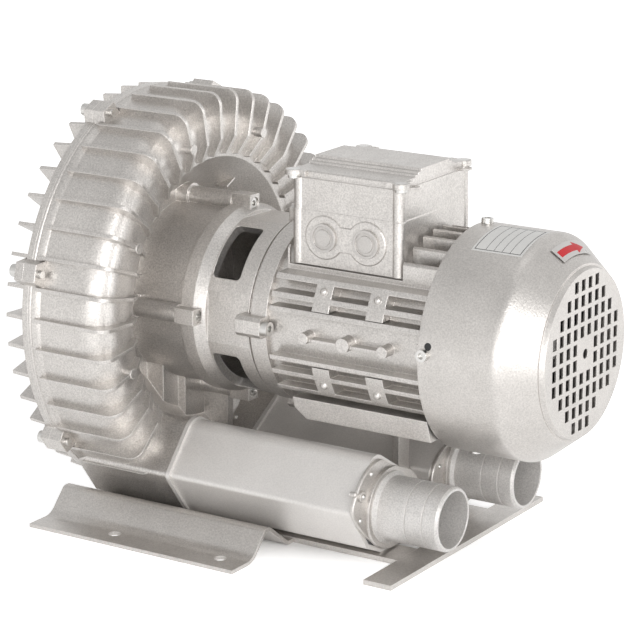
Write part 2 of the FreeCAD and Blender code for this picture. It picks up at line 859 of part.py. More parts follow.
def impeller():
    """A disc with a ring of straight blades that stand towards the side channel."""
    body = new_body("impeller")
    back = "cover_joint_at - chamber_depth + impeller_clearance"
    front = back + " + impeller_disc"
    rim = "channel_outer_radius - impeller_tip_gap"
    turned(body, "disc", [
        (back, "impeller_hub_radius"),
        (back, rim),
        (front, rim),
        (front, "impeller_hub_radius"),
        (front + " + impeller_hub_length", "impeller_hub_radius"),
        (front + " + impeller_hub_length", "impeller_seat_radius"),
        (front, "impeller_seat_radius"),
        (front, "impeller_hub_radius - 4"),
    ])
    key = new_sketch(body, "keyway_outline", "XY_Plane", "impeller_seat_radius - 4")
    outline(key, key_slot())
    pocketed(body, "keyway", key, "key_height", reverse=True)
    blade = outline(new_sketch(body, "blade_outline", "XZ_Plane"), [
        (front + " - 1", "channel_inner_radius + impeller_tip_gap"),
        (front + " - 1", rim),
        (front + " + blade_height", rim),
        (front + " + blade_height - 6", "channel_inner_radius + impeller_tip_gap"),
    ])
    first_blade = padded(body, "blade", blade, "blade_thickness", both_ways=True)
    around(body, "blades", first_blade, "blade_count")
    return body


def key_slot():
    """The key's outline seen from above the shaft."""
    start = "cover_joint_at - chamber_depth + impeller_clearance + impeller_disc + 3"
    return rectangle(start, start + " + key_length", "- 0.5 * key_width", "0.5 * key_width")


def impeller_key():
    body = new_body("impeller_key")
    outline(new_sketch(body, "key_outline", "XY_Plane", "impeller_seat_radius - 4"), key_slot())
    padded(body, "key", body.Group[-1], "key_height")
    return body


def impeller_washer():
    body = new_body("impeller_washer")
    front = "cover_joint_at - chamber_depth + impeller_clearance + impeller_disc"
    turned(body, "washer", rectangle(
        front + " - impeller_washer", front, "impeller_screw", "impeller_washer_radius"))
    return body


def impeller_screw():
    """The button-head screw in the shaft's end."""
    body = new_body("impeller_screw")
    front = "cover_joint_at - chamber_depth + impeller_clearance + impeller_disc"
    seat = front + " - impeller_washer"
    turned(body, "screw", [
        (front + " + impeller_screw_length", "0"),
        (front + " + impeller_screw_length", "impeller_screw"),
        (seat, "impeller_screw"),
        (seat, "impeller_screw_head"),
        (seat + " - 0.5 * impeller_screw_head_length", "impeller_screw_head"),
        (seat + " - impeller_screw_head_length", "0.6 * impeller_screw_head"),
        (seat + " - impeller_screw_head_length", "0.4 * impeller_screw_head"),
        (seat + " - 0.4 * impeller_screw_head_length", "0.4 * impeller_screw_head"),
        (seat + " - 0.4 * impeller_screw_head_length", "0"),
    ])
    return body


# Shaft, seal and bearings

DRIVE_BEARING = "shield_joint_at + bearing_lip"
REAR_BEARING = "frame_rear_at - shield_spigot + 2"


def shaft():
    """The stepped motor shaft, from the impeller's seat to the cooling fan's."""
    body = new_body("shaft")
    start = "cover_joint_at - chamber_depth + impeller_clearance + impeller_disc"
    turned(body, "steps", [
        (start, "0"),
        (start, "impeller_seat_radius"),
        (start + " + impeller_hub_length", "impeller_seat_radius"),
        (start + " + impeller_hub_length", "drive_bearing_bore"),
        (DRIVE_BEARING + " + drive_bearing_width", "drive_bearing_bore"),
        (DRIVE_BEARING + " + drive_bearing_width", "shaft_shoulder_radius"),
        ("stator_front_at - rotor_end_ring", "shaft_shoulder_radius"),
        ("stator_front_at - rotor_end_ring", "core_seat_radius"),
        ("stator_front_at + stator_length + rotor_end_ring", "core_seat_radius"),
        ("stator_front_at + stator_length + rotor_end_ring", "rear_shoulder_radius"),
        (REAR_BEARING, "rear_shoulder_radius"),
        (REAR_BEARING, "rear_bearing_bore"),
        ("fan_at", "rear_bearing_bore"),
        ("fan_at", "fan_seat_radius"),
        ("shaft_end_at", "fan_seat_radius"),
        ("shaft_end_at", "0"),
    ])
    hole = new_sketch(body, "end_hole_circle", "YZ_Plane", start)
    circles(hole, [("0", "0", "impeller_screw")])
    pocketed(body, "end_hole", hole, "impeller_screw_length", reverse=True)
    key = outline(new_sketch(body, "keyway_outline", "XY_Plane", "impeller_seat_radius - 4"), key_slot())
    pocketed(body, "keyway", key, "key_height", reverse=True)
    turned(body, "circlip_groove", rectangle(
        "fan_at + fan_length", "fan_at + fan_length + circlip_width", "fan_seat_radius - 1", "fan_seat_radius + 1"),
        cut=True)
    return body


def shaft_seal():
    """The lip seal between the impeller chamber and the lantern."""
    body = new_body("shaft_seal")
    front = "cover_joint_at + web_front_depth + seal_boss_length"
    turned(body, "seal", [
        (front + " - 1", "drive_bearing_bore + running_gap"),
        (front + " - 1", "drive_bearing_outer"),
        (front + " - 1 - seal_width", "drive_bearing_outer"),
        (front + " - 1 - seal_width", "drive_bearing_outer - 3"),
        (front + " - 4", "drive_bearing_outer - 4"),
        (front + " - 4", "drive_bearing_bore + 2"),
        (front + " - 1 - seal_width", "drive_bearing_bore + 1.5"),
        (front + " - 1 - seal_width", "drive_bearing_bore + running_gap"),
    ])
    return body


def bearing(name, start, outer, bore, width):
    """The outer ring, the inner ring and the caged balls of one deep-groove ball bearing."""
    outer_ring = new_body(name + "_outer_ring")
    turned(outer_ring, "ring", rectangle(start, start + " + " + width, outer + " - race_wall", outer))
    inner_ring = new_body(name + "_inner_ring")
    turned(inner_ring, "ring", rectangle(start, start + " + " + width, bore, bore + " + race_wall"))
    low = size(bore) + size("race_wall") + size("ball_gap")
    high = size(outer) - size("race_wall") - size("ball_gap")
    ball = (high - low) / 2
    pitch = (high + low) / 2
    middle = number(start) + size(width) / 2
    cage = rod(pitch + ball * 0.35, middle - ball * 0.5, ball)
    solid = cage.cut(rod(pitch - ball * 0.35, middle - ball, ball * 2))
    count = int(math.pi * pitch / (ball * 1.25))
    for step in range(count):
        across, up = polar(pitch, 360 * step / count)
        solid = solid.fuse(Part.makeSphere(ball, vec(middle, across, up)))
    return code_piece(name + "_caged_balls", solid, size("axis_height"))


# Lantern between the neck and the motor

def lantern():
    """The open ring that carries the motor on the neck, with four windows and two rows of lugs."""
    body = new_body("lantern_ring")
    bore = "lantern_radius - lantern_wall"
    band = "neck_joint_at + lantern_band"
    turned(body, "casting", [
        ("neck_joint_at", bore),
        ("neck_joint_at", "lantern_band_radius"),
        (band, "lantern_band_radius"),
        (band + " + lantern_slope", "lantern_radius"),
        ("shield_joint_at - joint_groove", "lantern_radius"),
        ("shield_joint_at - joint_groove", "lantern_radius - joint_groove_depth"),
        ("shield_joint_at", "lantern_radius - joint_groove_depth"),
        ("shield_joint_at", bore),
    ])
    flat = new_sketch(body, "flat_outline", "XY_Plane", "flat_radius", tilt="boss_angle - 90")
    outline(flat, rectangle(band + " + lantern_slope", "shield_joint_at - joint_groove - 1", "- 24", "24"))
    first_flat = pocketed(body, "flat", flat, "lantern_wall", reverse=True)
    around(body, "flats", first_flat, "boss_count")
    window = new_sketch(body, "window_outline", "XY_Plane", tilt="boss_angle - 45")
    outline(window, rectangle("window_at", "window_at + window_length",
                              "- window_half_width", "window_half_width", "window_corner"))
    first_window = pocketed(body, "window", window, "lantern_radius + lantern_wall", reverse=True)
    around(body, "windows", first_window, "boss_count")
    rear = new_sketch(body, "rear_lug_outline", "YZ_Plane", "neck_joint_at", spin="boss_angle - 90")
    outline(rear, rectangle("- lantern_lug_half_width", "lantern_lug_half_width",
                            "lantern_radius - 3", "lantern_lug_radius"))
    first_rear = padded(body, "rear_lug", rear, "lantern_lug_length")
    around(body, "rear_lugs", first_rear, "boss_count")
    front = new_sketch(body, "front_lug_outline", "YZ_Plane", "shield_joint_at - front_lug_length",
                       spin="boss_angle - 90")
    outline(front, front_lug_points())
    first_front = padded(body, "front_lug", front, "front_lug_length")
    around(body, "front_lugs", first_front, "boss_count")
    screw = new_sketch(body, "neck_screw_circle", "YZ_Plane", "neck_joint_at", spin="boss_angle - 90")
    circles(screw, [("0", "boss_centre_radius", "neck_screw")])
    first_screw = pocketed(body, "neck_screw_hole", screw, "lantern_lug_length", reverse=True)
    around(body, "neck_screw_holes", first_screw, "boss_count")
    head = new_sketch(body, "neck_head_circle", "YZ_Plane",
                      "neck_joint_at + lantern_lug_length - neck_head_depth", spin="boss_angle - 90")
    circles(head, [("0", "boss_centre_radius", "neck_screw_head")])
    first_head = pocketed(body, "neck_head_seat", head, "neck_head_depth", reverse=True)
    around(body, "neck_head_seats", first_head, "boss_count")
    tapped = new_sketch(body, "shield_screw_circle", "YZ_Plane", "shield_joint_at", spin="boss_angle - 90")
    circles(tapped, [("0", "shield_screw_circle", "shield_screw")])
    first_tapped = pocketed(body, "shield_screw_hole", tapped, "front_lug_length")
    around(body, "shield_screw_holes", first_tapped, "boss_count")
    return body


def front_lug_points():
    """The lugs either side of the joint between lantern and motor, with bevelled corners."""
    return [
        ("- front_lug_half_width", "lantern_radius - 5"),
        ("front_lug_half_width", "lantern_radius - 5"),
        ("front_lug_half_width", "front_lug_radius - 3"),
        ("front_lug_half_width - 3", "front_lug_radius"),
        ("3 - front_lug_half_width", "front_lug_radius"),
        ("- front_lug_half_width", "front_lug_radius - 3"),
    ]


def ring_of_screws(label, seat, radius, count, first_angle, shank, length, head, head_length):
    """Socket-head screws in a circle, with their heads towards the fan."""
    screws = []
    for step in range(count):
        across, up = polar(radius, first_angle + 360 * step / count)
        screws.append(screw_along(vec(1), vec(seat, across, up), shank, length, head, head_length))
    return code_piece(label, Part.makeCompound(screws), size("axis_height"))


def neck_screws():
    seat = size("neck_joint_at") + size("lantern_lug_length") - size("neck_head_depth")
    length = size("lantern_lug_length") - size("neck_head_depth") + size("neck_screw_thread")
    return ring_of_screws("neck_screws", seat, size("boss_centre_radius"), int(size("boss_count")),
                          size("boss_angle"), size("neck_screw"), length, size("neck_screw_head"),
                          size("neck_head_depth") - 1)


def shield_screws():
    seat = size("frame_front_at")
    length = seat - size("shield_joint_at") + size("front_lug_length")
    return ring_of_screws("shield_screws", seat, size("shield_screw_circle"), int(size("boss_count")),
                          size("boss_angle"), size("shield_screw"), length, size("shield_screw_head"),
                          size("shield_screw_head_length"))


# Motor

def drive_end_shield():
    """The front shield, which holds the drive bearing and is screwed to the lantern."""
    body = new_body("drive_end_shield")
    joint = "shield_joint_at"
    spigot = "frame_front_at + shield_spigot"
    turned(body, "casting", [
        (joint, "shield_radius"),
        ("frame_front_at", "shield_radius"),
        ("frame_front_at", "frame_bore"),
        (spigot, "frame_bore"),
        (spigot, "frame_bore - shield_spigot_wall"),
        (joint + " + shield_web", "frame_bore - shield_spigot_wall"),
        (joint + " + shield_web", "drive_bearing_outer + bearing_hub_wall"),
        (DRIVE_BEARING + " + drive_bearing_width", "drive_bearing_outer + bearing_hub_wall"),
        (DRIVE_BEARING + " + drive_bearing_width", "drive_bearing_outer"),
        (DRIVE_BEARING, "drive_bearing_outer"),
        (DRIVE_BEARING, "drive_bearing_outer - 8"),
        (joint, "drive_bearing_outer - 8"),
    ])
    lug = new_sketch(body, "lug_outline", "YZ_Plane", joint, spin="boss_angle - 90")
    outline(lug, front_lug_points())
    first_lug = padded(body, "lug", lug, "frame_front_at - shield_joint_at")
    around(body, "lugs", first_lug, "boss_count")
    hole = new_sketch(body, "screw_circle", "YZ_Plane", joint, spin="boss_angle - 90")
    circles(hole, [("0", "shield_screw_circle", "shield_screw")])
    first_hole = pocketed(body, "screw_hole", hole, "frame_front_at - shield_joint_at", reverse=True)
    around(body, "screw_holes", first_hole, "boss_count")
    return body


def rear_end_shield():
    """The rear shield, which holds the rear bearing and carries the fan cowl."""
    body = new_body("rear_end_shield")
    joint = "frame_rear_at"
    end = REAR_BEARING + " + rear_bearing_width + spring_height"
    turned(body, "casting", [
        (joint + " - shield_spigot", "frame_bore - shield_spigot_wall"),
        (joint + " - shield_spigot", "frame_bore"),
        (joint, "frame_bore"),
        (joint, "rear_shield_radius"),
        (joint + " + 0.6 * rear_shield_length", "rear_shield_radius"),
        (end + " + bearing_lip", "rear_bearing_outer + bearing_hub_wall + 4"),
        (end + " + bearing_lip", "rear_bearing_bore + 3"),
        (end, "rear_bearing_bore + 3"),
        (end, "rear_bearing_outer"),
        (REAR_BEARING, "rear_bearing_outer"),
        (REAR_BEARING, "rear_bearing_outer + bearing_hub_wall"),
        (joint + " + 2", "rear_bearing_outer + bearing_hub_wall"),
        (joint + " + 2", "frame_bore - shield_spigot_wall"),
    ])
    lug = new_sketch(body, "cowl_lug_outline", "YZ_Plane", joint, spin="cowl_screw_angle - 90")
    outline(lug, rectangle("- 7", "7", "rear_shield_radius - 6", "cowl_radius - cowl_wall - 0.4"))
    first_lug = padded(body, "cowl_lug", lug, "0.6 * rear_shield_length + 4")
    around(body, "cowl_lugs", first_lug, "boss_count")
    hole = new_sketch(body, "cowl_screw_circle", "XY_Plane", "cowl_radius - cowl_screw_length",
                      tilt="cowl_screw_angle - 90")
    circles(hole, [("cowl_front_at + cowl_screw_depth", "0", "cowl_screw")])
    first_hole = pocketed(body, "cowl_screw_hole", hole, "cowl_screw_length", reverse=True)
    around(body, "cowl_screw_holes", first_hole, "boss_count")
    return body


def preload_spring():
    """The disc spring that pushes the rear bearing's outer ring forward."""
    body = new_body("preload_spring")
    start = REAR_BEARING + " + rear_bearing_width"
    turned(body, "spring", [
        (start, "rear_bearing_outer - 1.8"),
        (start, "rear_bearing_outer - 0.1"),
        (start + " + 0.5", "rear_bearing_outer - 0.1"),
        (start + " + spring_height", "rear_bearing_outer - 2.5"),
        (start + " + spring_height", "rear_bearing_outer - 4.2"),
        (start + " + spring_height - 0.5", "rear_bearing_outer - 4.2"),
    ])
    return body


def motor_frame():
    """A tube with level fins at its sides, upright fins on top, pads, dowels and a foot skirt."""
    height = size("axis_height")
    front = size("frame_front_at")
    rear = size("frame_rear_at")
    tube = size("frame_tube_radius")
    tip = size("frame_fin_radius")
    fin = size("frame_fin_thickness")
    fin_front = front + size("frame_fin_setback")
    length = rear - fin_front
    blanks = []
    side_fin = size("side_fin_thickness") / 2
    for level in SIDE_FIN_LEVELS:
        blanks.append(slab(vec(fin_front, -tip, level - side_fin), vec(rear, tip, level + side_fin)))
    for across in TOP_FIN_PLACES:
        blanks.append(slab(vec(fin_front, across - fin / 2, 0), vec(rear, across + fin / 2, tip)))
    first_post = POSTS[0][0]
    last_post = POSTS[-1][0]
    web = size("post_web_radius")
    blanks.append(slab(vec(first_post, -web, -fin), vec(last_post, web, 0)))
    pad_half = size("pad_length") / 2
    for middle in (size("pad_one_at"), size("pad_two_at")):
        for low, high in ((size("pad_low"), size("pad_high")), (-size("pad_high"), -size("pad_low"))):
            blanks.append(slab(vec(middle - pad_half, -tip, low), vec(middle + pad_half, tip, high)))
    fins = rod(tip, fin_front, length).common(blanks[0].fuse(blanks[1:]))
    box_seat = slab(vec(size("box_front_at") - 3, -size("box_half_width") - 3, size("box_low") - 1),
                    vec(size("box_rear_at") + 3, size("box_half_width") + 3, tip))
    fins = fins.cut(box_seat)
    foot_low = -size("foot_drop")
    foot_top = foot_low + size("foot_depth")
    section = Part.makePolygon([
        vec(size("foot_front_at"), -size("foot_half_width"), foot_low),
        vec(size("foot_front_at"), -size("foot_top_half_width"), foot_top),
        vec(size("foot_front_at"), size("foot_top_half_width"), foot_top),
        vec(size("foot_front_at"), size("foot_half_width"), foot_low),
        vec(size("foot_front_at"), -size("foot_half_width"), foot_low),
    ])
    foot = Part.Face(section).extrude(vec(size("foot_rear_at") - size("foot_front_at")))
    inner = size("foot_half_width") - size("foot_wall")
    foot = foot.cut(slab(vec(size("foot_front_at") + size("foot_wall"), -inner, foot_low),
                         vec(size("foot_rear_at") - size("foot_wall"), inner, foot_top - size("foot_wall"))))
    bevel = size("foot_bevel")
    reach = size("foot_top_half_width")
    corner = Part.makePolygon([
        vec(size("foot_front_at"), -reach, foot_low),
        vec(size("foot_front_at") + bevel, -reach, foot_low),
        vec(size("foot_front_at"), -reach, foot_low + bevel),
        vec(size("foot_front_at"), -reach, foot_low),
    ])
    foot = foot.cut(Part.Face(corner).extrude(vec(0, 2 * reach)))
    sole = slab(vec(size("foot_front_at") + bevel, -size("foot_pad_half_width"), foot_low),
                vec(size("foot_rear_at"), size("foot_pad_half_width"), foot_top))
    shell = rod(tube, front, rear - front).fuse([fins, foot, sole])
    for side in (-1, 1):
        for middle, radius in POSTS:
            base = vec(middle, side * (tube - 4), 0)
            shell = shell.fuse(rod(radius, base, tip - tube + 4, direction=vec(0, side)))
        for middle in (size("pad_one_at"), size("pad_two_at")):
            for level in (size("dimple_level"), -size("dimple_level")):
                out = math.sqrt(tip * tip - level * level) - 0.5
                shell = shell.fuse(Part.makeSphere(size("dimple_radius"), vec(middle, side * out, level)))
    shell = shell.cut(rod(size("frame_bore"), front - 1, rear - front + 2))
    for place in support_screw_places():
        shell = shell.cut(rod(size("support_screw"), place + vec(0, 0, foot_low), size("support_screw_thread"),
                              direction=vec(0, 0, 1)))
    return code_piece("motor_frame", shell.removeSplitter(), height)


def stator_core():
    body = new_body("stator_core")
    turned(body, "core", rectangle(
        "stator_front_at", "stator_front_at + stator_length", "stator_bore", "frame_bore"))
    return body


def stator_windings():
    """The two end turns of the winding, one at each end of the core."""
    front = size("stator_front_at")
    overhang = size("winding_overhang")
    rear = front + size("stator_length")
    turns = []
    for start in (front - overhang, rear):
        turn = rod(size("winding_outer_radius"), start, overhang)
        turn = turn.cut(rod(size("winding_inner_radius"), start, overhang))
        turns.append(turn.makeFillet(4, [edge for edge in turn.Edges if abs(edge.BoundBox.XLength) < 0.01]))
    return code_piece("stator_windings", Part.makeCompound(turns), size("axis_height"))


def rotor_core():
    """The laminated rotor with its two short-circuit rings."""
    body = new_body("rotor_core")
    front = "stator_front_at"
    rear = "stator_front_at + stator_length"
    turned(body, "core", [
        (front + " - rotor_end_ring", "core_seat_radius"),
        (front + " - rotor_end_ring", "stator_bore - air_gap - 3"),
        (front, "stator_bore - air_gap - 3"),
        (front, "stator_bore - air_gap"),
        (rear, "stator_bore - air_gap"),
        (rear, "stator_bore - air_gap - 3"),
        (rear + " + rotor_end_ring", "stator_bore - air_gap - 3"),
        (rear + " + rotor_end_ring", "core_seat_radius"),
    ])
    return body


def cooling_fan():
    """A disc with straight blades, so it cools the motor in either sense of rotation."""
    body = new_body("cooling_fan")
    turned(body, "hub", [
        ("fan_at", "fan_seat_radius"),
        ("fan_at", "fan_radius - 14"),
        ("fan_at + fan_disc", "fan_radius - 14"),
        ("fan_at + fan_disc", "fan_hub_radius"),
        ("fan_at + fan_length", "fan_hub_radius"),
        ("fan_at + fan_length", "fan_seat_radius"),
    ])
    blade = outline(new_sketch(body, "blade_outline", "XZ_Plane"), [
        ("fan_at + fan_disc - 1", "fan_hub_radius - 2"),
        ("fan_at + fan_disc - 1", "fan_radius - 14"),
        ("fan_at + 6", "fan_radius"),
        ("fan_at + fan_length", "fan_radius"),
        ("fan_at + fan_length", "fan_hub_radius + 8"),
        ("fan_at + fan_length - 6", "fan_hub_radius - 2"),
    ])
    first_blade = padded(body, "blade", blade, "fan_blade_thickness", both_ways=True)
    around(body, "blades", first_blade, "fan_blades")
    return body


def fan_circlip():
    body = new_body("fan_circlip")
    turned(body, "clip", rectangle(
        "fan_at + fan_length", "fan_at + fan_length + circlip_width", "fan_seat_radius - 1", "circlip_radius"))
    slot = outline(new_sketch(body, "gap_outline", "YZ_Plane", "fan_at"), rectangle("- 2", "2", "0", "20"))
    pocketed(body, "gap", slot, "fan_length + 10", reverse=True)
    return body


# Fan cowl

def fan_cowl():
    """A drawn sheet cowl with a rounded shoulder and a slotted end disc."""
    shell = new_body("cowl_shell")
    end = "cowl_end_at"
    turned(shell, "skin", [
        ("cowl_front_at", "cowl_radius - cowl_wall"),
        ("cowl_front_at", "cowl_radius"),
        ("cowl_shoulder_at", "cowl_radius", "cowl_shoulder_round"),
        ("cowl_edge_at", "cowl_edge_radius"),
        ("cowl_edge_at", "cowl_disc_radius"),
        (end, "cowl_disc_radius - 1.5"),
        (end, "0"),
        (end + " - cowl_wall", "0"),
        (end + " - cowl_wall", "cowl_disc_radius - 1.5 - cowl_wall"),
        ("cowl_edge_at - cowl_wall", "cowl_disc_radius - cowl_wall"),
        ("cowl_edge_at - cowl_wall", "cowl_edge_radius - 1.2 * cowl_wall"),
        ("cowl_shoulder_at - 0.6 * cowl_wall", "cowl_radius - cowl_wall", "cowl_shoulder_round - cowl_wall"),
    ])
    wall = size("cowl_wall")
    reach = size("cowl_end_at") - 2.2 * wall
    slots = []
    for row, (count, kept) in enumerate(GRILLE_ROWS):
        up = (4.5 - row) * size("slot_pitch_up")
        for column in range(kept):
            across = (column - (count - 1) / 2) * size("slot_pitch_across")
            bare = abs(across) < size("centre_bare") and abs(up) < size("centre_bare")
            if not bare:
                slots.append(slab(vec(reach, across - size("slot_width") / 2, up - size("slot_height") / 2),
                                  vec(reach + 4 * wall, across + size("slot_width") / 2,
                                      up + size("slot_height") / 2)))
    slots.append(rod(size("centre_hole"), reach, 4 * wall))
    for step in range(int(size("boss_count"))):
        across, up = polar(1.0, size("cowl_screw_angle") + 90 * step)
        station = size("cowl_front_at") + size("cowl_screw_depth")
        slots.append(rod(size("cowl_screw"), vec(station), size("cowl_radius") + 2, direction=vec(0, across, up)))
    holes = code_piece("cowl_holes", Part.makeCompound(slots), size("axis_height"))
    cowl = doc.addObject("Part::Cut", "fan_cowl")
    cowl.Label = "fan_cowl"
    cowl.Base = shell
    cowl.Tool = holes
    return cowl


def cowl_screws():
    """The four radial screws that hold the cowl on the rear shield."""
    screws = []
    for step in range(int(size("boss_count"))):
        across, up = polar(1.0, size("cowl_screw_angle") + 90 * step)
        outward = vec(0, across, up)
        seat = vec(size("cowl_front_at") + size("cowl_screw_depth")) + outward * size("cowl_radius")
        screws.append(screw_along(outward, seat, size("cowl_screw"), size("cowl_screw_length"),
                                  size("cowl_screw_head"), size("cowl_screw_head_length")))
    return code_piece("cowl_screws", Part.makeCompound(screws), size("axis_height"))


def nameplate():
    """The bare plate on top of the cowl, bent to its radius."""
    low = size("cowl_radius")
    high = low + size("plate_thickness")
    bent = rod(high, size("plate_front_at"), size("plate_length"))
    bent = bent.cut(rod(low, size("plate_front_at") - 1, size("plate_length") + 2))
    angle = math.radians(size("plate_angle"))
    half = size("plate_half_width")
    keep = slab(vec(size("plate_front_at") - 1, -half, 0), vec(size("plate_front_at") + size("plate_length") + 1,
                                                              half, 2 * low))
    keep.rotate(vec(0), vec(1), math.degrees(angle) - 90)
    return code_piece("nameplate", bent.common(keep), size("axis_height"))


# Terminal box

def terminal_box():
    """A cast box that saddles the frame, with lugs for the lid screws and two gland holes."""
    half = size("box_half_width")
    wall = size("box_wall")
    low = size("box_low")
    high = size("box_high")
    front = size("box_front_at")
    rear = size("box_rear_at")
    tube = size("frame_tube_radius")
    shell = slab(vec(front, -half, low), vec(rear, half, high))
    edges = [edge for edge in shell.Edges if edge.BoundBox.ZLength > 1]
    shell = shell.makeFillet(size("box_corner"), edges)
    for station, across in lid_screw_places():
        shell = shell.fuse(rod(size("lid_lug_radius"), vec(station, across, high - size("lid_lug_depth")),
                               size("lid_lug_depth"), direction=vec(0, 0, 1)))
    base_step = size("box_step")
    shell = shell.fuse(slab(vec(front + 2, -half - base_step, low), vec(rear - 2, half + base_step,
                                                                    size("box_step_height"))))
    for side in (-1, 1):
        for station in (front + 1, rear - 1):
            shell = shell.fuse(rod(size("box_column"), vec(station, side * (half - 1), low), high - low - 4,
                                   direction=vec(0, 0, 1)))
    for station in (size("gland_one_at"), size("gland_two_at")):
        seat = vec(station, -half - base_step, size("gland_height"))
        shell = shell.fuse(rod(size("gland_rim_radius"), seat, size("gland_rim"), direction=vec(0, -1)))
    neck = slab(vec(size("gland_one_at"), -half - base_step - size("gland_rim"), size("gland_height") - 7),
                vec(size("gland_two_at"), -half, size("gland_height") + 7))
    shell = shell.fuse(neck)
    cavity = slab(vec(front + wall, wall - half, low), vec(rear - wall, half - wall, high))
    cavity = cavity.cut(rod(tube + size("box_floor"), front, rear - front))
    shell = shell.cut([cavity, rod(tube, front - 20, rear - front + 40)])
    for station in (size("gland_one_at"), size("gland_two_at")):
        seat = vec(station, gland_face(), size("gland_height"))
        shell = shell.cut(rod(size("gland_radius"), seat, wall + 4, direction=vec(0, 1)))
    for station, across in lid_screw_places():
        shell = shell.cut(rod(size("lid_screw"), vec(station, across, high - size("lid_screw_thread")),
                              size("lid_screw_thread"), direction=vec(0, 0, 1)))
    return code_piece("terminal_box", shell, size("axis_height"))


def gland_face():
    """The y of the raised face round the two cable entries."""
    return -size("box_half_width") - size("box_step") - size("gland_rim")


def lid_screw_places():
    """The four lid screws, on lugs outside the two end walls of the box."""
    places = []
    for station in (size("box_front_at") - size("lid_lug_overhang"), size("box_rear_at") + size("lid_lug_overhang")):
        for side in (-1, 1):
            places.append((station, side * (size("box_half_width") - size("lid_lug_inset"))))
    return places


def lid_plan(low, high):
    """The outline of the box top with its four lugs, between two heights."""
    half = size("box_half_width")
    plan = slab(vec(size("box_front_at"), -half, low), vec(size("box_rear_at"), half, high))
    edges = [edge for edge in plan.Edges if edge.BoundBox.ZLength > 0.1 and edge.BoundBox.XLength < 0.1
             and edge.BoundBox.YLength < 0.1]
    plan = plan.makeFillet(size("box_corner"), edges)
    for station, across in lid_screw_places():
        plan = plan.fuse(rod(size("lid_lug_radius"), vec(station, across, low), high - low, direction=vec(0, 0, 1)))
    for station, across in lid_screw_places():
        plan = plan.cut(rod(size("lid_screw"), vec(station, across, low), high - low, direction=vec(0, 0, 1)))
    return plan


def lid_gasket():
    low = size("box_high")
    high = low + size("gasket")
    wall = size("box_wall")
    half = size("box_half_width")
    opening = slab(vec(size("box_front_at") + wall, wall - half, low),
                   vec(size("box_rear_at") - wall, half - wall, high))
    return code_piece("lid_gasket", lid_plan(low, high).cut(opening), size("axis_height"))


def terminal_lid():
    """The lid: a flange with lugs under a ridge roof with a flat top."""
    low = size("box_high") + size("gasket")
    flange = low + size("lid_flange")
    half = size("box_half_width")
    front = size("box_front_at") + 1
    corners = [(size("lid_top_half_width"), size("lid_top"))]
    for step in range(3, 0, -1):
        corners.append((half - step * size("lid_step"), flange + step * size("lid_step")))
        corners.append((half - step * size("lid_step") + 0.3, flange + (step - 1) * size("lid_step")))
    corners.append((half - 0.5, flange))
    corners.append((half - 0.5, low))
    section = [vec(front, across, up) for across, up in corners]
    section += [vec(front, -across, up) for across, up in reversed(corners)]
    roof = Part.makePolygon(section + section[:1])
    top = Part.Face(roof).extrude(vec(size("box_rear_at") - front - 1))
    hollow = slab(vec(front + size("lid_wall"), -size("lid_top_half_width"), low),
                  vec(size("box_rear_at") - size("lid_wall") - 1, size("lid_top_half_width"),
                      size("lid_top") - size("lid_wall")))
    lid = lid_plan(low, flange).fuse(top).cut(hollow)
    for station, across in lid_screw_places():
        lid = lid.cut(rod(size("lid_screw_head") + 0.5, vec(station, across, flange), size("lid_top") - flange,
                          direction=vec(0, 0, 1)))
    return code_piece("terminal_lid", lid, size("axis_height"))


def lid_screws():
    seat = size("box_high") + size("gasket") + size("lid_flange")
    length = seat - size("box_high") + size("lid_screw_thread")
    screws = []
    for station, across in lid_screw_places():
        screws.append(screw_along(vec(0, 0, 1), vec(station, across, seat), size("lid_screw"), length,
                                  size("lid_screw_head"), size("lid_screw_head_length")))
    return code_piece("lid_screws", Part.makeCompound(screws), size("axis_height"))


def gland_plugs():
    """The two slotted plugs that close the cable entries."""
    plugs = []
    for station in (size("gland_one_at"), size("gland_two_at")):
        seat = vec(station, gland_face(), size("gland_height"))
        plug = rod(size("gland_flange_radius"), seat, size("gland_flange"), direction=vec(0, -1))
        plug = plug.fuse(rod(size("gland_radius"), seat, size("box_wall") + 2, direction=vec(0, 1)))
        face = seat + vec(0, -size("gland_flange"))
        ring = rod(size("gland_radius"), face, 1.2, direction=vec(0, 1))
        ring = ring.cut(rod(size("gland_radius") - 2.5, face, 1.2, direction=vec(0, 1)))
        plugs.append(plug.cut(ring))
    return code_piece("gland_plugs", Part.makeCompound(plugs), size("axis_height"))


def terminal_block():
    """The moulded block on the floor of the box."""
    middle = (size("box_front_at") + size("box_rear_at")) / 2
    half = size("terminal_block_length") / 2
    width = size("terminal_block_width") / 2
    floor = size("frame_tube_radius") + size("box_floor")
    block = slab(vec(middle - half, -width, floor - 6), vec(middle + half, width, floor + size("terminal_block_height")))
    block = block.cut(rod(floor, middle - half - 1, 2 * half + 2))
    return code_piece("terminal_block", block, size("axis_height"))


def terminal_studs():
    middle = (size("box_front_at") + size("box_rear_at")) / 2
    top = size("frame_tube_radius") + size("box_floor") + size("terminal_block_height")
    studs = []
    for column in (-1, 0, 1):
        for row in (-1, 1):
            base = vec(middle + column * size("terminal_block_length") / 3,
                       row * size("terminal_block_width") / 4, top)
            stud = rod(size("terminal_stud"), base, size("terminal_stud_length"), direction=vec(0, 0, 1))
            nut = rod(size("terminal_stud") * 2, base, size("terminal_stud") * 1.6, direction=vec(0, 0, 1))
            studs.append(stud.fuse(nut))
    return code_piece("terminal_studs", Part.makeCompound(studs), size("axis_height"))


# Silencers

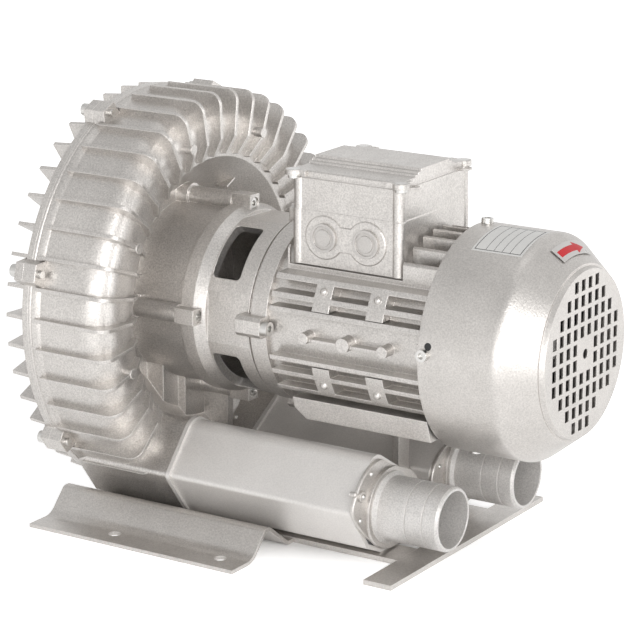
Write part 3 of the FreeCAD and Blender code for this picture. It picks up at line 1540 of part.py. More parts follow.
def section_face(points, station):
    """A flat face across X from outline formulas, with its round corners."""
    corners = [vec(0, number(point[0]), number(point[1])) for point in points]
    flat = [vec(corner.y, corner.z) for corner in corners]
    count = len(points)
    starts = list(corners)
    ends = list(corners)
    arcs = {}
    for index, point in enumerate(points):
        if len(point) == 3:
            first, second, centre, side = corner_arc(flat[index - 1], flat[index], flat[(index + 1) % count],
                                                     number(point[2]))
            middle = centre + (flat[index] - centre).normalize() * number(point[2])
            ends[index] = vec(0, first.x, first.y)
            starts[index] = vec(0, second.x, second.y)
            arcs[index] = Part.Arc(ends[index], vec(0, middle.x, middle.y), starts[index]).toShape()
    edges = []
    for index in range(count):
        if index in arcs:
            edges.append(arcs[index])
        edges.append(Part.LineSegment(starts[index], ends[(index + 1) % count]).toShape())
    face = Part.Face(Part.Wire(edges))
    face.translate(vec(station))
    return face


def silencer_prism(side, start, end, growth=0.0):
    """The silencer's outline, grown or shrunk, run from one station to another."""
    face = section_face(silencer_points(side, None), start)
    if growth:
        face = face.makeOffset2D(growth)
    return face.extrude(vec(end - start))


def below_silencer():
    """The space under the silencers' flat soles, which rest on the straps."""
    reach = size("rail_edge_y")
    return slab(vec(size("rail_front_at"), -reach, -reach),
                vec(size("cowl_end_at"), reach, size("silencer_bottom")))


def silencer(name, side):
    """One silencer body, with a flange at the seam with the port."""
    start = size("silencer_front_at") + size("silencer_gasket")
    end = size("silencer_rear_at")
    shell = silencer_prism(side, start, end)
    shell = shell.fuse(silencer_prism(side, start, start + size("seam_width"), size("seam_stand")))
    shell = shell.cut([silencer_prism(side, start, end, -size("silencer_wall")), below_silencer()])
    return code_piece("silencer_" + name, shell)


def silencer_liner(name, side):
    """The foam liner that fills the silencer round its air passage."""
    start = size("silencer_front_at") + size("silencer_gasket")
    end = size("silencer_rear_at")
    liner = silencer_prism(side, start, end, -size("silencer_wall"))
    passage = rod(size("duct_radius"), start, end - start, side * size("barb_y"), size("barb_height"))
    return code_piece("liner_" + name, liner.cut(passage))


def silencer_gasket(name, side):
    start = size("silencer_front_at")
    end = start + size("silencer_gasket")
    sheet_gasket = silencer_prism(side, start, end)
    passage = rod(size("duct_radius"), start, end - start, side * size("barb_y"), size("barb_height"))
    return code_piece("gasket_" + name, sheet_gasket.cut(passage))


def end_plate(name, side):
    """The plate that closes the silencer, with a hole for the hose barb."""
    start = size("silencer_rear_at")
    plate = silencer_prism(side, start, start + size("end_plate"), size("plate_stand"))
    hole = rod(size("barb_radius"), start, size("end_plate"), side * size("barb_y"), size("barb_height"))
    holes = [hole]
    for across, up in plate_screw_places(side):
        holes.append(rod(size("plate_screw"), start, size("end_plate"), across, up))
    holes.append(below_silencer())
    return code_piece("end_plate_" + name, plate.cut(holes))


def plate_screw_places(side):
    """The four screws near the plate's corners."""
    places = []
    for across, up in PLATE_SCREWS:
        places.append((side * (size("barb_y") + across), size("barb_height") + up))
    return places


def end_plate_screws():
    screws = []
    seat = size("silencer_rear_at") + size("end_plate")
    for side in (-1, 1):
        for across, up in plate_screw_places(side):
            screws.append(screw_along(vec(1), vec(seat, across, up), size("plate_screw"), size("end_plate"),
                                      size("plate_screw_head"), size("plate_screw_head_length")))
    return code_piece("end_plate_screws", Part.makeCompound(screws))


def hose_barb(name, side):
    """A turned hose tail with a collar, two grooves and a chamfered lip."""
    body = new_body("hose_barb_" + name, "barb_height")
    body.setExpression("Placement.Base.y", bound(mirrored("barb_y", side)))
    root = "silencer_rear_at"
    collar = "silencer_rear_at + end_plate + barb_collar"
    tip = "silencer_rear_at + end_plate + barb_length"
    turned(body, "tail", [
        (root, "duct_radius"),
        (root, "barb_radius"),
        ("silencer_rear_at + end_plate", "barb_radius"),
        ("silencer_rear_at + end_plate", "barb_collar_radius"),
        (collar + " - 2", "barb_collar_radius"),
        (collar, "barb_radius"),
        (tip + " - 2", "barb_radius"),
        (tip, "barb_radius - 1.2"),
        (tip, "duct_radius"),
    ])
    for place, groove in (("29.5", "groove_one"), ("44.3", "groove_two")):
        start = "silencer_rear_at + end_plate + " + place
        turned(body, groove, rectangle(start, start + " + 1", "barb_radius - barb_groove_depth", "barb_radius + 1"),
               cut=True)
    return body


# Foot frame

def foot_rail(name, side):
    """A pressed rail: a flange on the floor, a raised ridge and a heel under the silencer."""
    body = new_body("foot_rail_" + name, None)
    thickness = "rail_thickness"
    under = "rail_ridge_height - rail_thickness"
    outer = [
        ("rail_edge_y", "0", None),
        ("rail_edge_y", thickness, None),
        ("rail_rise_y", thickness, "rail_sweep"),
        ("rail_ridge_outer_y", "rail_ridge_height", "rail_crown"),
        ("rail_ridge_inner_y", "rail_ridge_height", "rail_crown"),
        ("rail_heel_y", thickness, "rail_crown"),
        ("rail_inner_y", thickness, None),
        ("rail_inner_y", "0", None),
        ("rail_heel_y + 1", "0", "rail_crown + rail_thickness"),
        ("rail_ridge_inner_y + 1", under, "rail_crown - rail_thickness"),
        ("rail_ridge_outer_y - 1.3", under, "rail_crown - rail_thickness"),
        ("rail_rise_y - 1.3", "0", "rail_sweep + rail_thickness"),
    ]
    points = []
    for across, up, corner in outer:
        point = (mirrored(across, side), up)
        points.append(point + (corner,) if corner else point)
    profile = outline(new_sketch(body, "rail_outline", "YZ_Plane", "rail_front_at"), points)
    padded(body, "rail", profile, "rail_rear_at - rail_front_at")
    holes = new_sketch(body, "foot_hole_circles", "XY_Plane")
    across = mirrored("0.5 * hole_spacing_y", side)
    circles(holes, [("- 0.5 * hole_spacing_x", across, "hole_radius"),
                    ("0.5 * hole_spacing_x", across, "hole_radius")])
    pocketed(body, "foot_holes", holes, "rail_thickness", reverse=True)
    return body


def base_strap(name, side):
    """The flat bar that joins a rail to the cross bar and carries the port block and silencer."""
    low = min(side * size("rail_inner_y"), side * size("strap_inner_y"))
    high = max(side * size("rail_inner_y"), side * size("strap_inner_y"))
    bar = slab(vec(size("rail_front_at"), low, 0),
               vec(size("strap_rear_at"), high, size("strap_thickness")))
    for station in ("base_bolt_front_at", "base_bolt_rear_at"):
        across = side * size("base_bolt_y")
        bar = bar.cut(rod(size("base_bolt"), vec(size(station), across), size("strap_thickness"),
                          direction=vec(0, 0, 1)))
        sink = Part.makeCone(size("base_bolt_head"), size("base_bolt"), size("base_bolt_head") - size("base_bolt"),
                             vec(size(station), across), vec(0, 0, 1))
        bar = bar.cut(sink)
    return code_piece("base_strap_" + name, bar)


def base_bolts():
    """Countersunk bolts from below, through the straps into the port block."""
    bolts = []
    for station in ("base_bolt_front_at", "base_bolt_rear_at"):
        for side in (-1, 1):
            foot = vec(size(station), side * size("base_bolt_y"))
            shank = rod(size("base_bolt"), foot, size("base_bolt_length"), direction=vec(0, 0, 1))
            head = Part.makeCone(size("base_bolt_head"), size("base_bolt"),
                                 size("base_bolt_head") - size("base_bolt"), foot, vec(0, 0, 1))
            socket = rod(size("base_bolt") * 0.6, foot, 2.5, direction=vec(0, 0, 1))
            bolts.append(shank.fuse(head).cut(socket))
    return code_piece("base_bolts", Part.makeCompound(bolts))


def cross_bar():
    body = new_body("rear_cross_bar", None)
    plan = outline(new_sketch(body, "bar_outline", "XY_Plane"), rectangle(
        "strap_rear_at", "strap_rear_at + cross_bar_length", "- cross_bar_half_width", "cross_bar_half_width"))
    padded(body, "bar", plan, "strap_thickness")
    return body


def support_screw_places():
    """The two screws that hold the motor's foot on its support."""
    middle = size("support_at") + size("support_width") / 2
    reach = size("support_flange_length") / 2 - size("support_screw_head") - 1
    return [vec(middle - reach), vec(middle + reach)]


def foot_level():
    """The height of the motor's sole above the floor."""
    return size("axis_height") - size("foot_drop")


def motor_support():
    """The upright plate between the silencers that carries the motor's foot, with its two flanges."""
    middle = size("support_at") + size("support_width") / 2
    half = size("support_flange_length") / 2
    depth = size("support_half_depth")
    inner = size("strap_inner_y")
    base = slab(vec(middle - half, -inner, 0), vec(middle + half, inner, size("strap_thickness")))
    post = slab(vec(size("support_at"), -depth, 0), vec(size("support_at") + size("support_width"), depth,
                                                       foot_level()))
    top = slab(vec(middle - half, -depth, foot_level() - size("support_flange")),
               vec(middle + half, depth, foot_level()))
    solid = base.fuse([post, top])
    for place in support_screw_places():
        hole = place + vec(0, 0, foot_level() - size("support_flange"))
        solid = solid.cut(rod(size("support_screw"), hole, size("support_flange"), direction=vec(0, 0, 1)))
    return code_piece("motor_support", solid)


def motor_support_screws():
    screws = []
    for place in support_screw_places():
        seat = place + vec(0, 0, foot_level() - size("support_flange"))
        length = size("support_flange") + size("support_screw_thread")
        screws.append(screw_along(vec(0, 0, -1), seat, size("support_screw"), length,
                                  size("support_screw_head"), size("support_screw_head_length")))
    return code_piece("motor_support_screws", Part.makeCompound(screws))


# Values that repeat a place rather than a size
SIDE_FIN_LEVELS = (43, 30, 19.5, -19, -31, -45)
TOP_FIN_PLACES = (-50.6, -36.4, -21.8, -7.3, 7.3, 21.8, 36.4, 50.6)
GRILLE_ROWS = ((4, 4), (6, 6), (8, 8), (10, 10), (10, 10), (10, 10), (10, 10), (8, 8), (6, 5), (4, 3))
POSTS = ((87.7, 4.6), (122.9, 5.7), (157.4, 4.6))
PLATE_SCREWS = ((40, -6), (28, 25), (-30, 22), (10, -31))

ring_housing()
rear_cover()
cover_screws()
impeller()
impeller_key()
impeller_washer()
impeller_screw()
shaft()
shaft_seal()
bearing("drive_bearing", DRIVE_BEARING, "drive_bearing_outer", "drive_bearing_bore", "drive_bearing_width")
bearing("rear_bearing", REAR_BEARING, "rear_bearing_outer", "rear_bearing_bore", "rear_bearing_width")
lantern()
neck_screws()
shield_screws()
drive_end_shield()
rear_end_shield()
preload_spring()
motor_frame()
stator_core()
stator_windings()
rotor_core()
cooling_fan()
fan_circlip()
fan_cowl()
cowl_screws()
nameplate()
terminal_box()
lid_gasket()
terminal_lid()
lid_screws()
gland_plugs()
terminal_block()
terminal_studs()
for name, side in (("near", -1), ("far", 1)):
    silencer(name, side)
    silencer_liner(name, side)
    silencer_gasket(name, side)
    end_plate(name, side)
    hose_barb(name, side)
    foot_rail(name, side)
    base_strap(name, side)
end_plate_screws()
base_bolts()
cross_bar()
motor_support()
motor_support_screws()

doc.recompute()

# Only finished pieces are written: helpers that feed another piece are not.
HELPERS = ("cowl_shell", "cowl_holes")
problems = []
finished = []
for item in doc.Objects:
    if "Invalid" in item.State or "Error" in item.State:
        problems.append("%s: %s" % (item.Label, item.State))
    whole = item.TypeId in ("PartDesign::Body", "Part::Feature", "Part::Cut")
    if whole and item.getParentGeoFeatureGroup() is None and item.Label not in HELPERS:
        finished.append(item)
for piece in finished:
    if piece.Shape.isNull() or not piece.Shape.isValid():
        problems.append("%s: no valid shape" % piece.Label)
if problems:
    raise RuntimeError("; ".join(problems))

os.makedirs("parts", exist_ok=True)
for piece in finished:
    piece.Shape.exportStep("parts/%s.step" % piece.Label)
    print(piece.Label, len(piece.Shape.Solids), round(piece.Shape.Volume / 1000, 2))
print(len(finished), "pieces")
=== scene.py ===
import json
import math

import bpy
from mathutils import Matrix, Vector


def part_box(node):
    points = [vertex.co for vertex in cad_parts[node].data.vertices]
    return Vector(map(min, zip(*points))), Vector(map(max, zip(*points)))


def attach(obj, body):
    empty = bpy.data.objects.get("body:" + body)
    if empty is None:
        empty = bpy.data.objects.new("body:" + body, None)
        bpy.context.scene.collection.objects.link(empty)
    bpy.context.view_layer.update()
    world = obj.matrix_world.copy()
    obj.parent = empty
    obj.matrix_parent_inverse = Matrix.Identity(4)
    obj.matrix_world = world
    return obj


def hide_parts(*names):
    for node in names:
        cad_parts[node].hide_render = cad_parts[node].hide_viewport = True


# Looks of the side channel blower. Units are metres, and the frame is that of the CAD model.

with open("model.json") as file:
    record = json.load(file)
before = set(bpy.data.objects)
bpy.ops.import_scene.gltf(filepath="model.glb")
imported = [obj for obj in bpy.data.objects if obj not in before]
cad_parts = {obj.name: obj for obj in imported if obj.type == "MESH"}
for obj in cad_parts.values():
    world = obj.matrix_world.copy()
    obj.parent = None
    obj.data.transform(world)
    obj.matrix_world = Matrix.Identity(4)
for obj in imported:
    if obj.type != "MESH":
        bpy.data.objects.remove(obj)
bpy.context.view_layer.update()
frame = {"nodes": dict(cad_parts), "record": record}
nodes = frame["nodes"]

AXIS_HEIGHT = 0.168

# Materials

SPECKLE_SCALE = 1.3
GLOSS_SCALE = 2.3
GLOSS_DOWN = 0.05
GLOSS_UP = 0.06
GRAIN_HEIGHT = 0.0004
STREAK_HEIGHT = 0.0002
STREAK_SCALE = 260.0
STREAK_WAVER = 0.6
BEVEL_SAMPLES = 4
WORN_AND_LIT_EDGE = (0.80, 0.995)


def new_material(name):
    """An empty node material with its output and its shader."""
    material = bpy.data.materials.new(name)
    material.use_nodes = True
    tree = material.node_tree
    shader = tree.nodes["Principled BSDF"]
    return material, tree, shader


def noise(tree, scale, detail):
    """Noise in the object's own coordinates, so that it stays on the piece."""
    place = tree.nodes.new("ShaderNodeTexCoord")
    field = tree.nodes.new("ShaderNodeTexNoise")
    field.inputs["Scale"].default_value = scale
    field.inputs["Detail"].default_value = detail
    tree.links.new(place.outputs["Object"], field.inputs["Vector"])
    return field


def between(tree, source, low, high, start=0.0, end=1.0):
    """A value remapped from one span to another."""
    span = tree.nodes.new("ShaderNodeMapRange")
    span.inputs["From Min"].default_value = start
    span.inputs["From Max"].default_value = end
    span.inputs["To Min"].default_value = low
    span.inputs["To Max"].default_value = high
    tree.links.new(source, span.inputs["Value"])
    return span.outputs["Result"]


def edge_mask(tree, rounded):
    """Near 1 on edges, 0 on flat faces."""
    plain = tree.nodes.new("ShaderNodeNewGeometry")
    dot = tree.nodes.new("ShaderNodeVectorMath")
    dot.operation = "DOT_PRODUCT"
    tree.links.new(rounded, dot.inputs[0])
    tree.links.new(plain.outputs["Normal"], dot.inputs[1])
    return between(tree, dot.outputs["Value"], 1.0, 0.0, *WORN_AND_LIT_EDGE)


def scaled(tree, colour, factor):
    """A colour, fixed or from another node, times a factor that varies over the surface."""
    product = tree.nodes.new("ShaderNodeVectorMath")
    product.operation = "SCALE"
    if isinstance(colour, tuple):
        product.inputs[0].default_value = colour
    else:
        tree.links.new(colour, product.inputs[0])
    tree.links.new(factor, product.inputs["Scale"])
    return product.outputs["Vector"]


def raised(tree, height, normal, strength, distance):
    """A normal with this height field laid over it."""
    bump = tree.nodes.new("ShaderNodeBump")
    bump.inputs["Strength"].default_value = strength
    bump.inputs["Distance"].default_value = distance
    tree.links.new(height, bump.inputs["Height"])
    tree.links.new(normal, bump.inputs["Normal"])
    return bump.outputs["Normal"]


def surface(name, colour, metallic, roughness, grain=0.0, grain_scale=900.0, speckle=0.0, mottle=0.04,
            mottle_scale=35.0, edge_wear_and_highlight=0.0, rounding=0.0008, streak=0.0):
    """A finish with fine grain, speckle, faint mottling, softened edges and lighter edges, partly edge wear and
    partly painted highlight.
    """
    material, tree, shader = new_material(name)
    shader.inputs["Base Color"].default_value = (*colour, 1.0)
    shader.inputs["Roughness"].default_value = roughness
    shader.inputs["Metallic"].default_value = metallic
    patches = noise(tree, mottle_scale, 4.0)
    base = scaled(tree, colour, between(tree, patches.outputs["Fac"], 1 - mottle, 1 + mottle, 0.35, 0.65))
    if speckle:
        dots = noise(tree, grain_scale * SPECKLE_SCALE, 1.0)
        base = scaled(tree, base, between(tree, dots.outputs["Fac"], 1 - speckle, 1 + speckle, 0.3, 0.7))
    rounded = tree.nodes.new("ShaderNodeBevel")
    rounded.samples = BEVEL_SAMPLES
    rounded.inputs["Radius"].default_value = rounding
    # Lighter colour on the edges: partly edge wear, partly painted highlight
    if edge_wear_and_highlight:
        worn_and_lit = tree.nodes.new("ShaderNodeMix")
        worn_and_lit.data_type = "RGBA"
        bare_and_lit = [min(1.0, part * (1 + edge_wear_and_highlight)) for part in colour]
        worn_and_lit.inputs["B"].default_value = (*bare_and_lit, 1.0)
        tree.links.new(base, worn_and_lit.inputs["A"])
        tree.links.new(edge_mask(tree, rounded.outputs["Normal"]), worn_and_lit.inputs["Factor"])
        base = worn_and_lit.outputs["Result"]
    tree.links.new(base, shader.inputs["Base Color"])
    gloss = noise(tree, mottle_scale * GLOSS_SCALE, 3.0)
    varied = between(tree, gloss.outputs["Fac"], roughness - GLOSS_DOWN, roughness + GLOSS_UP, 0.3, 0.7)
    tree.links.new(varied, shader.inputs["Roughness"])
    normal = rounded.outputs["Normal"]
    if grain:
        fine = noise(tree, grain_scale, 2.0)
        normal = raised(tree, fine.outputs["Fac"], normal, grain, GRAIN_HEIGHT)
    if streak:
        lines = tree.nodes.new("ShaderNodeTexWave")
        lines.wave_type = "BANDS"
        lines.bands_direction = "X"
        lines.inputs["Scale"].default_value = STREAK_SCALE
        lines.inputs["Distortion"].default_value = STREAK_WAVER
        place = tree.nodes.new("ShaderNodeTexCoord")
        tree.links.new(place.outputs["Object"], lines.inputs["Vector"])
        normal = raised(tree, lines.outputs["Fac"], normal, streak, STREAK_HEIGHT)
    tree.links.new(normal, shader.inputs["Normal"])
    return material


SILVER = (0.59, 0.565, 0.54)
PAINT_GRAIN = 650.0
FINISHES = {
    "painted_casting": surface("painted_casting", SILVER, 0.80, 0.36, grain=0.5, grain_scale=PAINT_GRAIN,
                               speckle=0.15, edge_wear_and_highlight=0.35, rounding=0.0010),
    "painted_sheet": surface("painted_sheet", (0.58, 0.555, 0.53), 0.80, 0.36, grain=0.35,
                             grain_scale=PAINT_GRAIN, speckle=0.11, edge_wear_and_highlight=0.3),
    "turned_aluminium": surface("turned_aluminium", (0.68, 0.66, 0.64), 0.35, 0.42, grain=0.5,
                                grain_scale=PAINT_GRAIN, speckle=0.12, streak=0.1, edge_wear_and_highlight=0.3),
    "bright_steel": surface("bright_steel", (0.62, 0.61, 0.59), 1.0, 0.28, edge_wear_and_highlight=0.1, rounding=0.0004),
    "bearing_steel": surface("bearing_steel", (0.70, 0.70, 0.71), 1.0, 0.15, rounding=0.0003),
    "plate_white": surface("plate_white", (0.80, 0.79, 0.77), 0.2, 0.4, mottle=0.01, rounding=0.0002),
    "plug_grey": surface("plug_grey", SILVER, 0.4, 0.4, grain=0.2, speckle=0.06, edge_wear_and_highlight=0.2),
    "moulded_black": surface("moulded_black", (0.025, 0.025, 0.027), 0.0, 0.5, grain=0.1),
    "seal_rubber": surface("seal_rubber", (0.03, 0.03, 0.03), 0.0, 0.6, grain=0.1),
    "foam_grey": surface("foam_grey", (0.09, 0.09, 0.095), 0.0, 0.9, grain=1.0, grain_scale=500.0),
    "core_steel": surface("core_steel", (0.22, 0.22, 0.23), 0.8, 0.45, streak=0.6),
    "copper": surface("copper", (0.55, 0.24, 0.11), 0.9, 0.35, streak=0.5),
    "stud_brass": surface("stud_brass", (0.62, 0.46, 0.20), 1.0, 0.3),
}
# Black for the plate's printed rules, and as painted shade for the cowl's notch
INK_AND_SHADE_BLACK = surface("ink_and_shade_black", (0.02, 0.02, 0.02), 0.0, 0.5, mottle=0.0, rounding=0.0001)
ARROW_RED = surface("arrow_red", (0.62, 0.012, 0.02), 0.0, 0.4, mottle=0.03, rounding=0.0001)
STICKER = surface("sticker_clear", (0.63, 0.61, 0.59), 0.55, 0.3, mottle=0.01, rounding=0.0001)

slot_of = {entry["node"]: entry["material_slot"] for entry in frame["record"]["subparts"]}

WELD_DISTANCE = 0.000005
SMOOTH_ANGLE = 12


def smooth_by_angle(piece):
    """Welds split vertices and shades smooth except across real edges."""
    for polygon in piece.data.polygons:
        polygon.use_smooth = True
    weld = piece.modifiers.new("weld", "WELD")
    weld.merge_threshold = WELD_DISTANCE
    split = piece.modifiers.new("edges", "EDGE_SPLIT")
    split.split_angle = math.radians(SMOOTH_ANGLE)
    split.use_edge_sharp = False


for name, node in nodes.items():
    node.data.materials.clear()
    node.data.materials.append(FINISHES[slot_of[name]])
    smooth_by_angle(node)

# The silencers' smoother paint, made paler than the other paint as painted light on them
SMOOTH_LIT_PAINT = surface("smooth_lit_paint", (0.77, 0.745, 0.72), 0.45, 0.42, grain=0.2, grain_scale=PAINT_GRAIN,
                       speckle=0.05, mottle=0.02, rounding=0.0007)
for name in ("silencer_near", "silencer_far"):
    nodes[name].data.materials[0] = SMOOTH_LIT_PAINT

# Pieces that only this file has

CREASE = 30


def new_piece(name, vertices, faces, material):
    """A mesh piece that rides on the blower's body."""
    mesh = bpy.data.meshes.new(name)
    mesh.from_pydata(vertices, [], faces)
    mesh.validate()
    piece = bpy.data.objects.new(name, mesh)
    bpy.context.scene.collection.objects.link(piece)
    mesh.materials.append(material)
    for polygon in mesh.polygons:
        polygon.use_smooth = True
    split = piece.modifiers.new("edges", "EDGE_SPLIT")
    split.split_angle = math.radians(CREASE)
    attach(piece, "blower")
    return piece


def stitched(levels, count, closed=False):
    """The faces between loops of points, with the last loop joined to the first if closed."""
    faces = []
    for level in range(levels if closed else levels - 1):
        following = (level + 1) % levels
        for index in range(count):
            after = (index + 1) % count
            faces.append((level * count + index, level * count + after, following * count + after,
                          following * count + index))
    return faces


# The cowl's outside: a barrel and a sloping shoulder
COWL_RADIUS = 0.0868
SHOULDER_START = 0.2575
SHOULDER_SLOPE = 0.0198 / 0.025


def on_cowl(station, angle, lift=0.0):
    """A point on the cowl's outside, at a station and an angle round the motor axis."""
    radius = COWL_RADIUS
    if station > SHOULDER_START:
        radius -= (station - SHOULDER_START) * SHOULDER_SLOPE
    turn = math.radians(angle)
    radius += lift
    return (station, radius * math.cos(turn), AXIS_HEIGHT + radius * math.sin(turn))


def laid_sheet(name, outline, material, lift, thickness, steps=14):
    """A thin sheet wrapped on the cowl, from a four-sided outline of (station, angle) corners."""
    first, second, third, fourth = outline
    low = []
    high = []
    for row in range(steps + 1):
        down = row / steps
        for column in range(steps + 1):
            over = column / steps
            station = ((first[0] * (1 - over) + second[0] * over) * (1 - down)
                       + (fourth[0] * (1 - over) + third[0] * over) * down)
            angle = ((first[1] * (1 - over) + second[1] * over) * (1 - down)
                     + (fourth[1] * (1 - over) + third[1] * over) * down)
            low.append(on_cowl(station, angle, lift))
            high.append(on_cowl(station, angle, lift + thickness))
    count = len(low)
    side = steps + 1
    faces = []
    for row in range(steps):
        for column in range(steps):
            start = row * side + column
            faces.append((start, start + side, start + side + 1, start + 1))
            faces.append((count + start, count + start + 1, count + start + side + 1, count + start + side))
    rim = list(range(side))
    rim += [row * side + steps for row in range(1, side)]
    rim += [steps * side + column for column in range(steps - 1, -1, -1)]
    rim += [row * side for row in range(steps - 1, 0, -1)]
    for index, start in enumerate(rim):
        following = rim[(index + 1) % len(rim)]
        faces.append((start, following, count + following, count + start))
    return new_piece(name, low + high, faces, material)


STUB_SIDES = 28
STUB_CHAMFER = 0.0003
DOME_SHARES = ((0.4, 0.72), (0.0, 0.25))


def stub(name, foot, direction, radius, length, material, dome=0.0):
    """A round stub with a chamfered or domed end."""
    along = Vector(direction).normalized()
    across = along.orthogonal().normalized()
    third = along.cross(across)
    rings = [(0.0, radius), (length - dome - STUB_CHAMFER, radius), (length - dome, radius - STUB_CHAMFER)]
    if dome:
        rings += [(length - dome * below, radius * width) for below, width in DOME_SHARES]
    vertices = []
    for reach, size in rings:
        for step in range(STUB_SIDES):
            turn = 2 * math.pi * step / STUB_SIDES
            offset = across * (size * math.cos(turn)) + third * (size * math.sin(turn))
            vertices.append(tuple(Vector(foot) + along * reach + offset))
    last = (len(rings) - 1) * STUB_SIDES
    ends = [tuple(range(STUB_SIDES)), tuple(range(last, last + STUB_SIDES))]
    return new_piece(name, vertices, stitched(len(rings), STUB_SIDES) + ends, material)


# The bare rating plate, where the photograph has it, with a thin frame and plain rules
PLATE_FRONT = 0.2095
PLATE_REAR = 0.2515
PLATE_LOW = 117.4
PLATE_HIGH = 87.6
PLATE_LIFT = 0.00002
PLATE_THICKNESS = 0.0002
INK_LIFT = 0.00023
INK_THICKNESS = 0.00003


def patch(name, front, rear, low, high, material, lift, thickness):
    """A sheet on the cowl between two stations and two angles."""
    corners = [(front, low), (rear, low), (rear, high), (front, high)]
    return laid_sheet(name, corners, material, lift, thickness)


plate = patch("plate_face", PLATE_FRONT, PLATE_REAR, PLATE_LOW, PLATE_HIGH, FINISHES["plate_white"],
              PLATE_LIFT, PLATE_THICKNESS)
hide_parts("nameplate")


def plate_rule(name, front, rear, low, high):
    """One printed line on the plate."""
    patch(name, front, rear, low, high, INK_AND_SHADE_BLACK, INK_LIFT, INK_THICKNESS)


# The frame's inset and line width, along the axis in metres and round it in degrees
INSET = 0.0019
TURN_INSET = 1.25
LINE = 0.00055
TURN_LINE = 0.36
RULE_LINE = LINE * 0.6
RULE_SHARES = (0.26, 0.42, 0.58, 0.74)
low = PLATE_LOW - TURN_INSET
high = PLATE_HIGH + TURN_INSET
plate_rule("plate_line_front", PLATE_FRONT + INSET, PLATE_FRONT + INSET + LINE, low, high)
plate_rule("plate_line_rear", PLATE_REAR - INSET - LINE, PLATE_REAR - INSET, low, high)
plate_rule("plate_line_low", PLATE_FRONT + INSET, PLATE_REAR - INSET, low, low - TURN_LINE)
plate_rule("plate_line_high", PLATE_FRONT + INSET, PLATE_REAR - INSET, high + TURN_LINE, high)
for number, share in enumerate(RULE_SHARES):
    station = PLATE_FRONT + (PLATE_REAR - PLATE_FRONT) * share
    plate_rule("plate_rule_%d" % number, station, station + RULE_LINE, low, high)

# The arrow that shows which way the rotor turns, on a pale sticker on the cowl's shoulder. Each outline is
# four (station, angle) corners, from the arrow's tail to its tip
STICKER_OUTLINE = ((0.2640, 103.0), (0.2745, 103.0), (0.2745, 69.0), (0.2640, 69.0))
ARROW_SHAFT = ((0.2672, 101.0), (0.2716, 101.0), (0.2716, 83.5), (0.2672, 83.5))
ARROW_HEAD = ((0.2651, 83.6), (0.2737, 83.6), (0.26945, 73.5), (0.26935, 73.5))
for name, outline, material, lift, thickness in (("arrow_sticker", STICKER_OUTLINE, STICKER, 0.00003, 0.0001),
                                                 ("arrow_shaft", ARROW_SHAFT, ARROW_RED, 0.00014, 0.00004),
                                                 ("arrow_head", ARROW_HEAD, ARROW_RED, 0.00014, 0.00004)):
    laid_sheet(name, outline, material, lift, thickness)

# The notch in the cowl over its near screw, as a thin black disc: painted shade where the notch's hollow is
NOTCH_STATION = 0.2005
NOTCH_ANGLE = 171.5
NOTCH_RADIUS = 0.0030
NOTCH_THICKNESS = 0.0004
turn = math.radians(NOTCH_ANGLE)
outward = (0.0, math.cos(turn), math.sin(turn))
foot = on_cowl(NOTCH_STATION, NOTCH_ANGLE, -NOTCH_THICKNESS / 2)
notch_shade_disc = stub("cowl_notch_shade", foot, outward, NOTCH_RADIUS, NOTCH_THICKNESS, INK_AND_SHADE_BLACK)

# Pins left by the casting mould on every fifth fin
PIN_COUNT = 5
PIN_FIRST = 23.91
PIN_PITCH = 42.857
PIN_FOOT = -0.0475
PIN_RING = 0.1325
PIN_RADIUS = 0.0042
PIN_LENGTH = 0.0128
casting = FINISHES["painted_casting"]
for number in range(PIN_COUNT):
    turn = math.radians(PIN_FIRST + PIN_PITCH * number)
    foot = (PIN_FOOT, PIN_RING * math.cos(turn), AXIS_HEIGHT + PIN_RING * math.sin(turn))
    pin = stub("mould_pin_%d" % number, foot, (1, 0, 0), PIN_RADIUS, PIN_LENGTH, casting)

# Lands between the fins of the ring: they stand higher than the housing's own wall, so the fins look shallow
RING_SEGMENTS = 252


def turned(name, profile, material):
    """A closed ring turned about the motor axis, from (station, radius) points."""
    vertices = []
    for step in range(RING_SEGMENTS):
        turn = 2 * math.pi * step / RING_SEGMENTS
        for station, radius in profile:
            vertices.append((station, radius * math.cos(turn), AXIS_HEIGHT + radius * math.sin(turn)))
    return new_piece(name, vertices, stitched(RING_SEGMENTS, len(profile), closed=True), material)


def arc(centre, radius, start, end, steps):
    """Points on an arc in the (station, radius) plane, between two angles in degrees."""
    points = []
    for step in range(steps + 1):
        turn = math.radians(start + (end - start) * step / steps)
        points.append((centre[0] + radius * math.cos(turn), centre[1] + radius * math.sin(turn)))
    return points


# The profile runs from the rim over a round shoulder, which a shallow seam crosses, and back inside the wall
LAND_ROUND = 0.024
LAND_FACE = -0.0412
LAND_TOP = 0.1586
LAND_STEPS = 14
LAND_RIM = [(-0.1068, 0.1612), (-0.1025, 0.1604), (-0.1000, LAND_TOP)]
LAND_INSIDE = [(LAND_FACE, 0.1290), (-0.0470, 0.1145), (-0.0530, 0.1140), (-0.0530, 0.1350),
               (-0.0600, 0.1460), (-0.1068, 0.1500)]
SEAM_DEPTH = 0.0004
SEAM_STEPS = (8, 9)
shoulder = arc((LAND_FACE - LAND_ROUND, LAND_TOP - LAND_ROUND), LAND_ROUND, 90, 0, LAND_STEPS)
for step in SEAM_STEPS:
    shoulder[step] = (shoulder[step][0] - SEAM_DEPTH, shoulder[step][1] - SEAM_DEPTH)
turned("ring_lands", LAND_RIM + shoulder + LAND_INSIDE, casting)

# The terminal box and its lid as the photograph has them: corner columns, corner lugs and a stepped roof


def prism(name, loops, material, crease=CREASE):
    """A closed solid lofted through loops that have the same number of points."""
    vertices = [point for loop in loops for point in loop]
    count = len(loops[0])
    ends = [tuple(range(count)), tuple(range(len(vertices) - count, len(vertices)))]
    piece = new_piece(name, vertices, stitched(len(loops), count) + ends, material)
    piece.modifiers["edges"].split_angle = math.radians(crease)
    return piece


